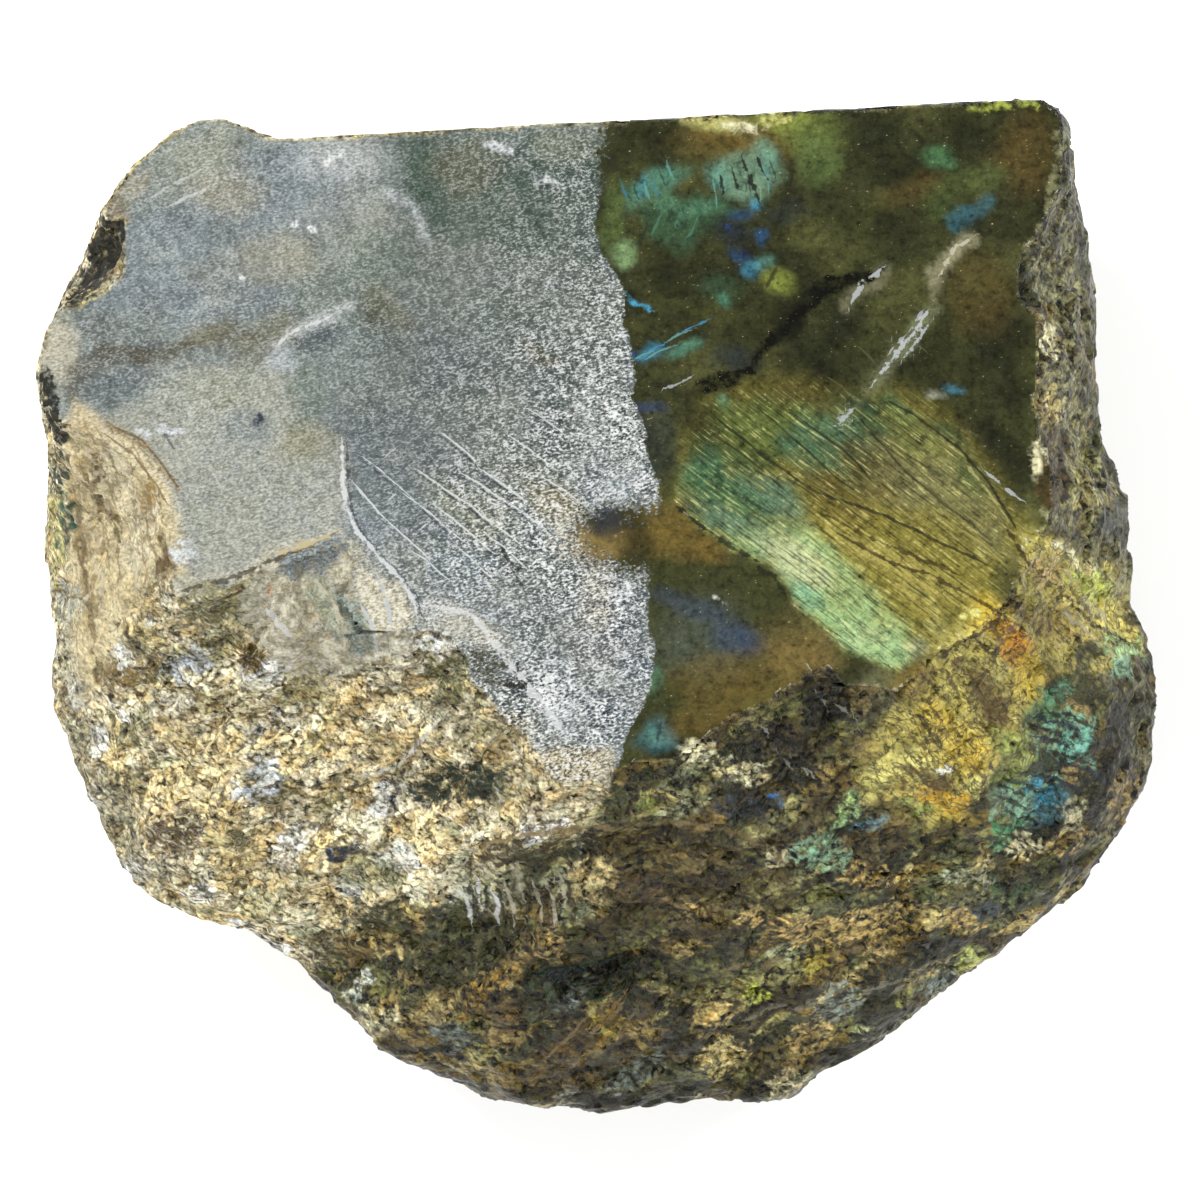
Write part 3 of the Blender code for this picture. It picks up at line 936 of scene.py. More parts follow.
@dataclass
class DryFace:
    """The dusty half of the sawn face, with its stains, scratches and broken left edge, and painted shade in
    the notch of that edge.
    """

    dim: Points = ((-20, 48), (0, 48), (3, 30), (0, 14), (-14, 10), (-26, 18), (-22, 32))
    dim_light: Light = (0.78, 8)
    grounds: Shapes = (
        Patch(((-20.5, 48), (1, 48.5), (1, 33), (-4, 35), (-10, 35), (-16, 36.5), (-20, 41)),
            Tint.FOREST, 0.7, 5),
        Patch(((-29, 37), (-12, 36), (0, 35), (2, 29), (3.5, 22), (5.5, 13), (-2, 14), (-12, 18),
            (-24, 20), (-31, 26)), Tint.SHALE, 0.5, 6),
        Patch(((-45, 21), (-41, 24.5), (-35, 25.2), (-31.5, 23.5), (-30, 19), (-26, 18), (-24.8, 15.5),
            (-25.7, 11), (-25, 9), (-30, 6.5), (-35, 5), (-39.5, 3), (-41.7, 2.2), (-43, 7), (-44.5, 12),
            (-47, 16), (-49, 19)), Tint.ASH, 0.75, 2),
        Spot(-42, 44, 14, 5, 35, Tint.SAGE, 0.5, 1), Spot(-30.2, 41.3, 12, 7, 10, Tint.STEEL, 0.6, 1),
        Spot(-46.3, 36, 6, 12, -20, Tint.STEEL, 0.5, 1), Spot(-32.5, 35.2, 7, 5, 0, Tint.CLAY, 0.5, 1),
        Spot(-37.1, 41.6, 7, 4, -20, Tint.CLAY, 0.6, 1), Spot(-26.5, 45, 9, 4, 0, Tint.FROST, 0.5, 1),
        Spot(-20.9, 35.2, 7, 6, 0, Tint.SHALE, 0.7, 1), Spot(-26.5, 24.5, 8, 6, -30, Tint.FOG, 0.6, 1),
        Spot(-16, 25, 12, 6, -20, Tint.SLATE, 0.5, 1), Spot(-20.5, 15.5, 9, 12, 25, Tint.SLATE, 0.7, 1),
        Spot(-29, 21, 4, 7, 0, Tint.SHALE, 0.7, 1), Spot(-18, 9, 7, 7, 30, Tint.SLATE, 0.6, 1),
        Spot(0.5, 17, 7, 14, 0, Tint.FROST, 0.3, 1), Spot(-8, 13, 10, 7, -30, Tint.SAGE, 0.5, 1),
        Spot(-8, 30, 10, 5, 10, Tint.SHALE, 0.5, 1), Spot(-12.5, 9.5, 12, 5, -38, Tint.SAGE, 0.6, 1),
        Spot(-4.5, 10.8, 6, 3, -20, Tint.BEIGE, 0.55, 1), Spot(-0.5, 1.5, 3.4, 6, -10, Tint.BONE, 0.6, 1),
    )
    stains: Shapes = (
        Spot(-46.4, 42.4, 3.6, 2.6, 30, Tint.CLAY, 0.9), Spot(-48.5, 40.2, 2.6, 3.2, 30, Tint.CAMEL, 0.6),
        Spot(-54.3, 26.3, 4, 7, -10, Tint.BONE), Spot(-53.2, 29.5, 2.5, 3, 0, Tint.SHALE, 0.6),
        Spot(-51.6, 22.2, 5, 2.8, 10, Tint.UMBER, 0.55),
        Spot(-48.3, 22.4, 6.5, 3.2, 12, Tint.SLATE, 0.95, 1),
        Streak(((-53, 24), (-49.4, 25.2), (-45, 25.2), (-41.5, 26.2), (-37.5, 27.3)), 1.5,
            Tint.PEAT, 0.6, 1.2),
        Spot(-38, 27.2, 7, 3, 5, Tint.DRAB, 0.7, 1), Spot(-32.8, 27.2, 6.5, 5, 20, Tint.DRAB, 0.7, 1),
        Spot(-36.1, 31.8, 3.6, 2.2, 10, Tint.SLATE, 0.6), Spot(-17.5, 44, 5, 5, 0, Tint.FOREST, 0.55, 1),
        Spot(-13.5, 44.5, 7, 5, 0, Tint.DRAB, 0.6, 1), Spot(-3.5, 46, 6, 3.6, 0, Tint.SAGE, 0.45, 1),
        Spot(-2.5, 39.5, 4, 8, 0, Tint.SHALE, 0.5, 1), Spot(-28, 27.2, 5, 2.6, 20, Tint.NAVY, 0.55),
        Spot(-31.3, 25, 3.4, 2.6, 30, Tint.ICE, 0.5), Spot(-21.2, 30.2, 6, 3.4, -40, Tint.DRAB, 0.65, 1),
        Spot(-6.2, 25.3, 4.6, 1.7, -32, Tint.DRAB), Spot(-38, 22.2, 7, 4, 0, Tint.SAGE, 0.5, 1),
        Spot(-35.3, 18.5, 5, 4, 0, Tint.STEEL, 0.5), Spot(-29, 16.6, 6, 3.6, 0, Tint.KHAKI, 0.5, 1),
        Spot(-9.5, 5.6, 2, 5, 35, Tint.SLATE, 0.6), Spot(0.5, -1, 6, 8, 0, Tint.LILAC, 0.35, 1),
    )
    flecks_and_notch_shade: Shapes = (
        # painted shade: the notch is painted near black for the shadow that fills it
        Patch(EDGE_NOTCH, Tint.COAL, 0.95),
        Streak(((-55.3, 23.2), (-54.9, 20.5), (-54.3, 17.8)), 1.8, Tint.COAL, 0.9),
        Spot(-22.8, 29, 2.6, 4, -20, Tint.DARK_OLIVE, 0.5, 1),
        Spot(-30.5, 38.4, 1, 0.8, 0, Tint.WHITE, 0.9), Spot(-29, 38.1, 1, 0.8, 0, Tint.WHITE, 0.9),
        Spot(-35.9, 33.5, 1.2, 0.8, -30, Tint.WHITE, 0.9), Spot(-27.2, 44.8, 1.8, 1, 40, Tint.WHITE),
        Spot(-25.7, 45.4, 1.4, 0.9, 0, Tint.WHITE),
        Streak(((-21.4, 41.8), (-19.3, 40.3), (-17.5, 37.6)), 1.1, Tint.FROST, 0.5, 1.2),
        Streak(((-11.2, 46.6), (-10.4, 46.2), (-8.7, 45.8)), 1, Tint.FROST),
        Spot(-5.2, 42.6, 3, 1.2, -15, Tint.FROST),
        Streak(((-32.4, 26.4), (-30.8, 27.8), (-29.5, 28.3), (-26.9, 29.3), (-25, 30.1)), 1,
            Tint.WHITE, 0.4, 1.2),
        Spot(-43.3, 18.1, 3.4, 1.2, -10, Tint.FROST), Spot(-45.8, 17.6, 2, 1.2, -10, Tint.FROST),
        Spot(-34.1, 19.1, 2, 1.6, -40, Tint.NAVY, 0.6), Spot(1.2, 19.6, 2.4, 1.6, 0, Tint.WHITE, 0.7),
        Spot(4, 13, 2.4, 1.2, 35, Tint.WHITE, 0.6),
        Streak(((4.5, 13.6), (2, 11.6), (-0.5, 10.6)), 1, Tint.FROST, 0.7),
        Spot(2, 1.5, 3, 4, 0, Tint.FROST, 0.6), Spot(-3, -8, 7, 3, -55, Tint.FROST, 0.5, 1),
    )
    facets: Shapes = (
        Patch(((-14, 11.6), (-10.6, 9.8), (-8.4, 7.2), (-13.4, 7)), Tint.SAGE, 0.5),
        Patch(((-6, 11.5), (-3, 11), (-1.6, 7), (-3, 4.8), (-5.4, 6)), Tint.BONE, 0.5, 1),
        Patch(((-2, 2.8), (0.6, 3.2), (1.4, 0), (0.4, -2.6), (-1.6, -1.6), (-0.6, 0.6)),
            Tint.BONE, 0.5, 1),
        Patch(((-6.9, 1.8), (-2.4, 1.4), (-2, -1), (-6, -0.6)), Tint.SLATE, 0.55, 0.9),
        Patch(((-24.6, 13), (-20, 13.6), (-16.4, 9), (-20, 7.2), (-23, 8.6)), Tint.SLATE, 0.6, 0.9),
        Patch(((-16, 16.5), (-10, 13), (-12.4, 11.6), (-17.6, 14.6)), Tint.SLATE, 0.55, 0.9),
        Patch(((-17, 7), (-13.6, 6.6), (-11, 3.4), (-15.4, 3.8)), Tint.SHALE, 0.6, 0.9),
    )
    combs: Combs = (
        Comb((-21.6, 10.4), (-10.4, 3.4), (1.3, 1.2), 7, 0.14, (Tint.WHITE, Tint.INK), 0.6, 2),
        Comb((-22, 14.8), (-12, 9.6), (1.4, 1.2), 6, 0.14, (Tint.WHITE, Tint.INK), 0.55, 2),
    )
    edge: Shapes = (
        Streak(((-43.5, 1.6), (-41.7, 2.1), (-39.1, 2.9), (-36.6, 3.4), (-34.6, 4.4), (-32.5, 5.4),
            (-29.2, 6.7), (-26.5, 8)), 1.4, Tint.PALE, 0.6, 1.2),
        Streak(((-17.4, 0.4), (-14.5, -0.8), (-11, -3.2), (-8, -6.5), (-5.5, -9.5), (-3.2, -12.2)), 2,
            Tint.FROST, 0.4, 1.2),
    )
    ridge: Points = (
        (-25.9, 17), (-25.6, 12.3), (-25.4, 10.2), (-24.1, 7.7), (-22.1, 5.4), (-20.3, 3.6), (-18.7, 1.1),
        (-18.2, -0.5),
    )
    ridge_shadow: Points = tuple((x + 0.5, y - 0.2) for x, y in ridge)
    cleavage: tuple[tuple[float, float, float, float, float], ...] = (
        (-24.9, 13.1, 6.6, 52, 0.35), (-18.5, 14.2, 13.5, 36, 0.3), (-14, 13.8, 10.5, 34, 0.35),
        (-16.2, 17.8, 6, 38, 0.3), (-12.4, 14.3, 6.4, 36, 0.35), (-24, 15.5, 7, 40, 0.22),
        (-20.5, 12.2, 9, 38, 0.25), (-22, 9.4, 7, 42, 0.25), (-16.8, 10.6, 8, 38, 0.3),
        (-19.4, 6.2, 6, 36, 0.22), (-11.8, 8, 6, 40, 0.25), (-14.6, 6.6, 6, 44, 0.22),
        (-9.4, 17.6, 6, 36, 0.25), (-6, 13.4, 5, 34, 0.25), (-7.6, 20.4, 6, 36, 0.2),
    )
    seams: Seams = (
        Seam(((-9.8, 6.4), (-9.2, 5), (-8.1, 4.2)), 0.5, Tint.COAL),
        Seam(((-10.2, 7.2), (-9, 4.4), (-7.4, 1.6)), 0.25, Tint.COAL, 0.7),
        Seam(((-43.7, 17.8), (-42.7, 16)), 0.3, Tint.NAVY, 0.6),
        Seam(((-32.4, 26.4), (-30.8, 27.8), (-29.5, 28.3), (-26.9, 29.3)), 0.25, Tint.WHITE, 0.7, 5),
        Seam(((-43, 40.5), (-38.5, 42.6)), 0.25, Tint.WHITE, 0.5, 4),
        Seam(((-45.5, 41), (-40, 44)), 0.22, Tint.WHITE, 0.4, 4),
        # painted shadow: the dark umber line under the ledge where the sawn face drops to the plates
        Seam(((-42, 1.9), (-39.1, 2.7), (-36.6, 3.2), (-34.6, 4.2), (-32.5, 5.2), (-29.2, 6.5),
            (-26, 7.9)), 0.35, Tint.UMBER, 0.75, 4),
        Seam(((-17.4, 0.6), (-12.9, -0.3), (-10.1, -3.9), (-7.5, -7), (-5, -10.5), (-3.4, -12.6)), 0.4,
            Tint.WHITE, 0.7, 5),
    )

    def paint(self, canvas: Canvas) -> None:
        """Paints the stains and scratches, with painted shade in the notch and under the ledge, and a painted
        highlight and shadow along the ridge.
        """
        canvas.lay((Layer.DRY,), self.grounds + self.stains)
        canvas.lift(Layer.DRY, self.dim, *self.dim_light)
        canvas.paint((Layer.DRY,), self.facets + self.flecks_and_notch_shade + self.edge)
        canvas.draw(self.seams)
        # A painted highlight along the ridge in white, and a painted shadow in ink just beside it.
        light = Seam(self.ridge, 0.4, Tint.WHITE, 0.8, 3)
        canvas.draw((light, Seam(self.ridge_shadow, 0.3, Tint.INK, 0.7, 3)))
        canvas.comb(self.combs)
        for line in self.cleavage:
            canvas.draw(Cleavage(*line).seams())


@dataclass
class WetFace:
    """The wet half of the sawn face: dark olive, with teal and blue flashes whose sheen is painted into the
    colour, a black crack and pale veins.
    """

    # The lemon and lime of the back edge's thin chips: partly their own pale yellow, partly a painted glow of
    # light shining through them.
    chips: Shapes = (
        Spot(13.5, 46.8, 11, 4, 0, Tint.BRONZE, 0.6, 1), Spot(10.8, 49, 6, 2.6, -8, Tint.LEMON, 0.8, 1),
        Spot(14.5, 48.2, 5, 1.5, 0, Tint.PALE, 0.6), Spot(18, 48.9, 6, 3, 0, Tint.LIME, 0.7, 1),
        Spot(17.4, 49.2, 3, 1.4, 0, Tint.LEMON, 0.7), Spot(21.4, 47.6, 7, 4, 0, Tint.LEAF, 0.6, 1),
        Spot(28, 47.8, 9, 4, 0, Tint.COAL, 0.5, 1),
        Streak(((37, 50.6), (43.4, 50.9)), 1.5, Tint.LIME, 0.6),
        Spot(42.5, 45.6, 6, 8, 0, Tint.BROWN, 0.6, 1),
    )
    # painted sheen: the teal and blue labradorescent flashes, painted into the colour
    flashes: Shapes = (
        Patch(((2.4, 42.3), (4.2, 43.1), (5.5, 43.9), (7, 44.3), (8.8, 43.7), (7.6, 42.5), (6, 41.1),
            (3, 40)), Tint.TURQUOISE, 0.5, 1.7),
        Spot(4.4, 42.2, 1, 2.2, -20, Tint.SKY, 0.46, 1.2),
        Patch(((10.3, 43.4), (11.9, 44.6), (14.2, 44.9), (15.7, 46.4), (17.2, 45.8), (17.7, 43.6),
            (15.9, 41.3), (11.9, 41.4)), Tint.JADE, 0.6, 1.7),
        Spot(11.5, 43, 2.2, 2.4, 0, Tint.AQUA, 0.46, 1.2),
        Spot(16.5, 44.8, 1.8, 2.6, 0, Tint.AQUA, 0.33, 1),
        Patch(((3.5, 39.8), (6.5, 41.2), (10.5, 41), (14, 40.4), (12.4, 38.6), (9.5, 37), (8, 35.6),
            (6.6, 36.5), (5, 38)), Tint.FOREST, 0.9, 1.6),
        Spot(7, 40.5, 2.2, 2.6, 30, Tint.TEAL, 0.68, 1.2),
        Spot(10.3, 39.8, 3.6, 1.6, 20, Tint.TEAL, 0.68, 1.2),
        Spot(15.5, 40.9, 0.9, 1.4, 20, Tint.SKY, 0.6, 1.2),
        Spot(14.2, 39.8, 2.4, 1.2, 20, Tint.BLUE, 0.39, 1.2),
        Spot(13.4, 38, 3, 2, 20, Tint.INK, 0.6, 1.2), Spot(12.8, 38.4, 0.9, 0.8, 20, Tint.COBALT, 0.7),
        Spot(15.8, 37.6, 1.2, 1.1, 0, Tint.BLUE, 0.6, 1.2),
        Spot(13.9, 36.1, 1.8, 1.2, 0, Tint.COBALT, 0.31, 1), Spot(18.5, 39.5, 4, 3, 0, Tint.INK, 0.42, 1),
        Spot(1.5, 41.6, 2.4, 4, 0, Tint.MOSS, 0.68, 1.2),
        Spot(1, 38.4, 2.4, 4.6, 0, Tint.MOSS, 0.68, 1.2),
        Spot(2.5, 35.4, 2.4, 2.6, -30, Tint.MINT, 0.68, 1.2),
        Spot(13.9, 35.4, 1.4, 1, 0, Tint.BLUE, 0.46, 1.2),
        Spot(15.3, 34.2, 2, 2.2, 0, Tint.SKY, 0.5, 1.2),
        Spot(16.4, 34.8, 1.8, 1.8, 0, Tint.AQUA, 0.46, 1.2),
        Spot(18.1, 32.8, 3.2, 2.2, -20, Tint.LIME, 0.5, 1.2),
        Streak(((2.9, 31.6), (4, 30.3), (5.1, 29.9)), 0.8, Tint.SKY, 0.6),
        Spot(12, 31.2, 1.4, 1.2, 0, Tint.TURQUOISE, 0.68, 1.2),
        Spot(12, 32, 5, 2.6, 0, Tint.FOREST, 0.5, 1), Spot(2.9, 25.3, 1.5, 1.2, 0, Tint.BLUE, 0.4, 1),
        Spot(5, 25.6, 2.5, 1, 22, Tint.SKY, 0.5, 1.2),
        Spot(8.2, 26.1, 3.2, 1, 24, Tint.TURQUOISE, 0.47, 1),
        Spot(12.8, 25, 4.6, 2.4, 0, Tint.INK, 0.59, 1.2),
        Spot(12.5, 20.9, 1.2, 1.3, 0, Tint.TURQUOISE, 0.77, 1.2),
        Spot(4.8, 20.4, 2.7, 1.7, 0, Tint.COBALT, 0.39, 1), Spot(5.8, 16.6, 4, 6, 0, Tint.INK, 0.45, 1),
        Spot(21.8, 44.9, 4.6, 5, 0, Tint.MOSS, 0.7, 1), Spot(34, 45.3, 3.2, 2.4, 0, Tint.GREEN, 0.55, 1),
        Spot(37.8, 43.2, 5, 3, 0, Tint.MOSS, 0.4, 1), Spot(34, 40.8, 4, 4, 0, Tint.MOSS, 0.4, 1),
        Spot(31.3, 42.2, 6, 3, 20, Tint.BROWN, 0.5, 1),
        Streak(((35.6, 38.6), (37.2, 39.6), (38.5, 40.4)), 1.5, Tint.SEA, 0.35, 1),
        Spot(38, 31.8, 7, 8, 0, Tint.BROWN, 0.4, 1), Spot(35.2, 22.3, 1.4, 0.8, 0, Tint.SKY, 0.5, 1.2),
        Spot(33.7, 21.8, 1, 0.7, 0, Tint.FROST, 0.68, 1.2),
    )
    crack: Shapes = (
        Streak(((27.5, 33.6), (24.6, 32.7), (22.3, 32.3), (21.2, 30.6), (18.4, 28.2), (16.2, 26.2),
            (15, 24.2), (12.5, 22.8), (10.6, 22.2)), 1.2, Tint.BLACK),
        Spot(22.6, 32.2, 4.4, 2, 20, Tint.BLACK), Spot(18.8, 28.8, 5, 2.6, 45, Tint.BLACK, 0.7, 1),
        Spot(11.8, 22.8, 5, 2.2, 10, Tint.BLACK, 0.7), Spot(9, 21.8, 3, 1.2, 10, Tint.BLACK, 0.6, 1),
        Spot(28.6, 34.6, 2.6, 1, 30, Tint.BLACK, 0.6),
    )
    veins: Shapes = (
        Streak(((28.4, 34.6), (27.2, 33), (25.7, 31.8), (24.9, 30)), 1.2, Tint.CLAY, 0.35, 1),
        Streak(((37.4, 37.2), (36.2, 36.6), (35.2, 35.6), (33.7, 33.6)), 1.6, Tint.BONE, 0.45, 1),
        Streak(((33.6, 33.2), (33.1, 31.2)), 1, Tint.CLAY, 0.35, 1),
        Streak(((32.8, 29.9), (31.6, 28.2), (29.9, 25.9), (28.2, 23.9), (26.6, 21.9)), 1.4,
            Tint.SAGE, 0.35, 1),
        Streak(((25.2, 19.9), (23, 17.9)), 2, Tint.SAGE, 0.35, 1),
    )
    seams: Seams = (
        Seam(((11.9, 43.6), (12.5, 41.6)), 0.3, Tint.COAL, 0.9),
        Seam(((13, 44.6), (13.9, 41.8)), 0.25, Tint.COAL, 0.9),
        Seam(((14.1, 45.2), (16, 40.8)), 0.4, Tint.COAL, 0.9),
        Seam(((15.6, 45.6), (16.8, 42.6)), 0.25, Tint.COAL, 0.9),
        Seam(((17.7, 34.4), (16.6, 32)), 0.3, Tint.DARK_OLIVE, 0.9),
        Seam(((6.3, 21.9), (9.2, 23.3)), 0.2, Tint.FROST, 0.6),
        Seam(((28.2, 34.3), (25.7, 31.9), (25, 30.2)), 0.3, Tint.FROST, 0.7, 5),
        Seam(((32.8, 29.9), (31.6, 28.2), (29.9, 25.9), (27.2, 22.6)), 0.3, Tint.FROST, 0.8, 5),
        Seam(((33.3, 29.2), (31.8, 27.1), (30.2, 24.9)), 0.22, Tint.FROST, 0.7, 5),
        Seam(((32.2, 29.8), (30.8, 27.9), (28.8, 25.4)), 0.2, Tint.FROST, 0.6, 5),
        Seam(((37.6, 37.4), (35.6, 36.2), (33.9, 33.6)), 0.3, Tint.PALE, 0.7, 5),
        Seam(((25.3, 20), (23.4, 18.4)), 0.35, Tint.FROST, 0.7, 5),
        # painted highlight: a thin glint line
        Seam(((38.1, 14.1), (42.5, 10.8)), 0.2, Tint.FROST, 0.7, 4),
        Seam(((20.2, 49.8), (30, 50.5)), 0.4, Tint.COAL),
    )

    combs: Combs = (
        Comb((3.4, 24.6), (6.6, 27), (3.2, 1.4), 6, 0.2, (Tint.AQUA, Tint.SKY), 0.7, 1.5, 0.4),
        Comb((3, 40.6), (7.6, 42.6), (-0.8, 2), 6, 0.22, (Tint.SEA, Tint.PINE, Tint.AQUA), 0.6, 2),
        Comb((11, 43.8), (17, 44.8), (0.7, -3), 8, 0.16, (Tint.AQUA, Tint.COAL, Tint.MINT), 0.6, 2),
        Comb((5, 39.4), (10, 40), (-1, -2.4), 6, 0.25, (Tint.PINE, Tint.TEAL), 0.6, 2),
        Comb((22, 24), (32, 29), (3, -2.6), 6, 0.16, (Tint.OLIVE, Tint.COAL), 0.5, 2),
    )

    def paint(self, canvas: Canvas) -> None:
        """Paints the chips of the back edge with a painted glow on their thin edges, the flashes as a painted
        sheen, the crack, the veins and a painted glint line.
        """
        canvas.paint((Layer.WET,), self.chips + self.flashes + self.crack + self.veins)
        canvas.draw(self.seams)
        canvas.comb(self.combs)


@dataclass
class FlashDomain:
    """The large crystal that flashes green, mint and gold, its flash painted into the colour as a sheen,
    crossed by dark cleavage lines.
    """

    outline: Points = (
        (7.3, 10.9), (8, 14), (8.9, 17.1), (10.4, 18.6), (11.5, 21), (16, 21.9), (20, 22.4), (25, 20.7),
        (30, 21.5), (33.1, 20), (37.1, 15.5), (39.9, 11.9), (41.8, 9.1), (42.4, 7.3), (41.3, 5),
        (40.5, 2), (39.3, 0.8), (37.1, 0), (34.8, -1.7), (32.9, -4.5), (30.9, -5.3), (29.5, -6.5),
        (28.1, -5.9), (24.4, -3.7), (21.6, -1.4), (19.4, 0.6), (18.8, 2.5), (16.6, 4.8), (13.2, 5.9),
        (10.4, 7.6),
    )
    soft: float = 0.8
    softer: Rise = Rise(0.775, 1.0, 18.0, 8.0)  # where the outline gets softer, toward the back and the right
    softer_by: float = 4.0
    wrinkled: Point = (0.25, 0.5)  # how wrinkled the crystal is everywhere, and how much more below
    below: Rise = Rise(-0.6, -1.0, -19.0, 12.0)
    teal_light: Light = (0.72, 4)
    gold_light: Light = (0.9, 4)
    mint_light: Light = (1.25, 3)
    teal_part: Points = ((8, 10), (8, 20), (22, 24), (36, 20), (26, 12), (16, 7))
    gold_part: Points = ((21, 10), (30, 20), (42, 12), (42, 2), (32, -4))
    mint_part: Points = ((17, 7), (22, 8), (32, -4), (29, -7), (22, -2))
    # painted sheen: the crystal's labradorescent flash colours
    colours: Shapes = (
        Patch(((8.5, 16.5), (11.5, 21.2), (17, 21.6), (23, 21), (21, 17), (15, 13), (10, 11)),
            Tint.MOSS, 0.9, 2.5),
        Spot(14.6, 18.3, 8, 4, -35, Tint.LEAF, 0.75, 1), Spot(19.9, 18.6, 8, 4, -35, Tint.LEAF, 0.75, 1),
        Spot(10.5, 18.2, 3, 5, 0, Tint.DARK_OLIVE, 0.5, 1),
        Spot(21.8, 21.4, 9, 2.6, -5, Tint.BROWN, 0.5, 1),
        Patch(((26, 17), (30, 19.5), (34, 18), (38, 13.8), (41, 9), (41.5, 5), (38, 4.5), (33, 8),
            (28, 11), (24.5, 13.5)), Tint.KHAKI, 0.85, 3),
        Spot(26.4, 19.4, 7, 3, -35, Tint.DEEP_TEAL, 0.85, 1),
        Spot(29.7, 20.4, 4.6, 2.2, -30, Tint.GREEN, 0.8, 1),
        Spot(24.4, 16.2, 9, 4.6, -38, Tint.TEAL, 0.85, 1), Spot(20.5, 15.8, 6, 4, -38, Tint.TEAL, 0.6, 1),
        Spot(31.5, 17.8, 8, 4, -38, Tint.LICHEN, 0.7, 1), Spot(37, 13.2, 5, 3.4, -45, Tint.MOSS, 0.6, 1),
        Spot(35.4, 17.6, 4, 1.6, -45, Tint.DEEP_TEAL, 0.6, 1),
        Spot(27.2, 14, 8, 3.6, -35, Tint.BRONZE, 0.7, 1), Spot(30.5, 13, 6, 3.4, -35, Tint.KHAKI, 0.7, 1),
        Spot(33, 10.4, 7, 4, -35, Tint.KHAKI, 0.8, 1), Spot(23.6, 11.6, 9, 3, -30, Tint.BRONZE, 0.65, 1),
        Patch(((7.6, 14.8), (11, 16.2), (15, 13.6), (19.5, 12.2), (20.5, 10), (17, 8.6), (12, 6.4),
            (8.5, 9)), Tint.TEAL, 0.6, 2.2),
        Spot(12.5, 12, 9, 3, -20, Tint.GREEN, 0.6, 1), Spot(17.6, 11.2, 7.5, 3.4, -35, Tint.JADE, 0.5, 1),
        Spot(14, 8.2, 8, 2.6, -25, Tint.JADE, 0.5, 1), Spot(9, 10, 3.6, 1.6, -30, Tint.INK, 0.45, 1),
        Patch(((12.5, 6.2), (17, 9.2), (21, 8.4), (25, 5.4), (28, 1.6), (30, -1.6), (31.5, -4.6),
            (29.5, -6.3), (26, -5), (22, -1.5), (19, 1.5), (17, 4.5)), Tint.MINT, 0.75, 2.2),
        Spot(19.8, 5, 8, 3.6, -35, Tint.PALE, 0.4, 1), Spot(27, -3, 6, 2.4, -38, Tint.PALE, 0.35, 1),
        Spot(20.5, 1.6, 4, 2.4, -40, Tint.TURQUOISE, 0.5, 1), Spot(25, -2, 7, 3, -38, Tint.MINT, 0.7, 1),
        Spot(28.9, -4.2, 5, 2.6, -30, Tint.MINT, 0.8, 1),
        Patch(((21.5, 9.2), (28, 8), (34, 5.4), (39.5, 3), (39, 0.8), (34.5, -1.2), (32.5, -3.6),
            (29.5, -0.6), (25.5, 3.4)), Tint.GOLD, 0.85, 2.2),
        Spot(35, 7, 9, 3.6, -35, Tint.GOLD, 0.6, 1),
        # painted highlight: a band of bright yellow glints
        Streak(((23, 8.4), (27, 6.4), (32, 3.6), (37, 1.2)), 2, Tint.STRAW, 0.65, 1.2),
        Spot(31.6, 1.6, 7, 2.8, -38, Tint.STRAW, 0.6, 1), Spot(33.6, -2, 3, 1.8, -30, Tint.LEMON, 0.7),
        Spot(31.6, -4.2, 3, 2.4, -30, Tint.SAGE, 0.7), Spot(41.2, 2.2, 4, 4, 0, Tint.OLIVE, 0.6, 1),
        Spot(32, 17.2, 1.5, 1.1, -30, Tint.BLACK, 0.9),
    )
    seams: Seams = (
        Seam(((11.5, 19.4), (17.7, 14.3), (21.6, 11.8), (28.7, 9.3), (32.3, 7.6), (38.8, 4.5)), 0.3,
            Tint.COAL, 0.8, 0.7),
        Seam(((18.8, 19.9), (24.4, 16), (27.2, 12.9)), 0.25, Tint.COAL, 0.75, 0.7),
        Seam(((15.5, 20.4), (20, 16.6), (23.5, 13.4), (26.5, 11.2)), 0.2, Tint.COAL, 0.7, 0.7),
        Seam(((28.9, 21), (31.5, 19.4), (35.7, 16.3), (39, 12.6), (41.8, 7.9)), 0.28,
            Tint.COAL, 0.8, 0.7),
        Seam(((25.8, 19.4), (30.1, 14.3), (34.3, 10.7), (38.2, 7.9)), 0.25, Tint.COAL, 0.75, 0.7),
        Seam(((10.1, 13.5), (14, 11.4), (17.7, 9.3)), 0.25, Tint.PINE, 0.7),
        Seam(((8.9, 16), (12.5, 12.6), (15.5, 10.6)), 0.22, Tint.PINE, 0.6),
        Seam(((24, 7.6), (28.9, 4.8), (32.9, 3.6), (37.1, 1.4), (39.9, -0.3), (42.7, -2.2)), 0.3,
            Tint.UMBER, 0.8, 2),
        Seam(((22.5, 9.6), (27, 7.2), (31, 5.6), (36, 3.4)), 0.3, Tint.UMBER, 0.7),
        Seam(((7.3, 10.7), (10.4, 8.2), (13.2, 6.2), (16, 4.8)), 0.35, Tint.COAL),
        Seam(((30.5, 17.4), (33.6, 14.6), (37, 11.2), (39.8, 8.6)), 0.22, Tint.OLIVE, 0.7),
        Seam(((28.4, 16.4), (32, 12.8), (36, 9.4)), 0.2, Tint.OLIVE, 0.6),
        Seam(((40.3, 8.8), (42.7, 4.9), (45.9, 2), (49.3, -1.4), (52.9, -3.1)), 0.35, Tint.UMBER),
        Seam(((35.9, 15.2), (38.6, 12.2), (41, 8.8)), 0.22, Tint.LEMON, 0.5, 4),
    )

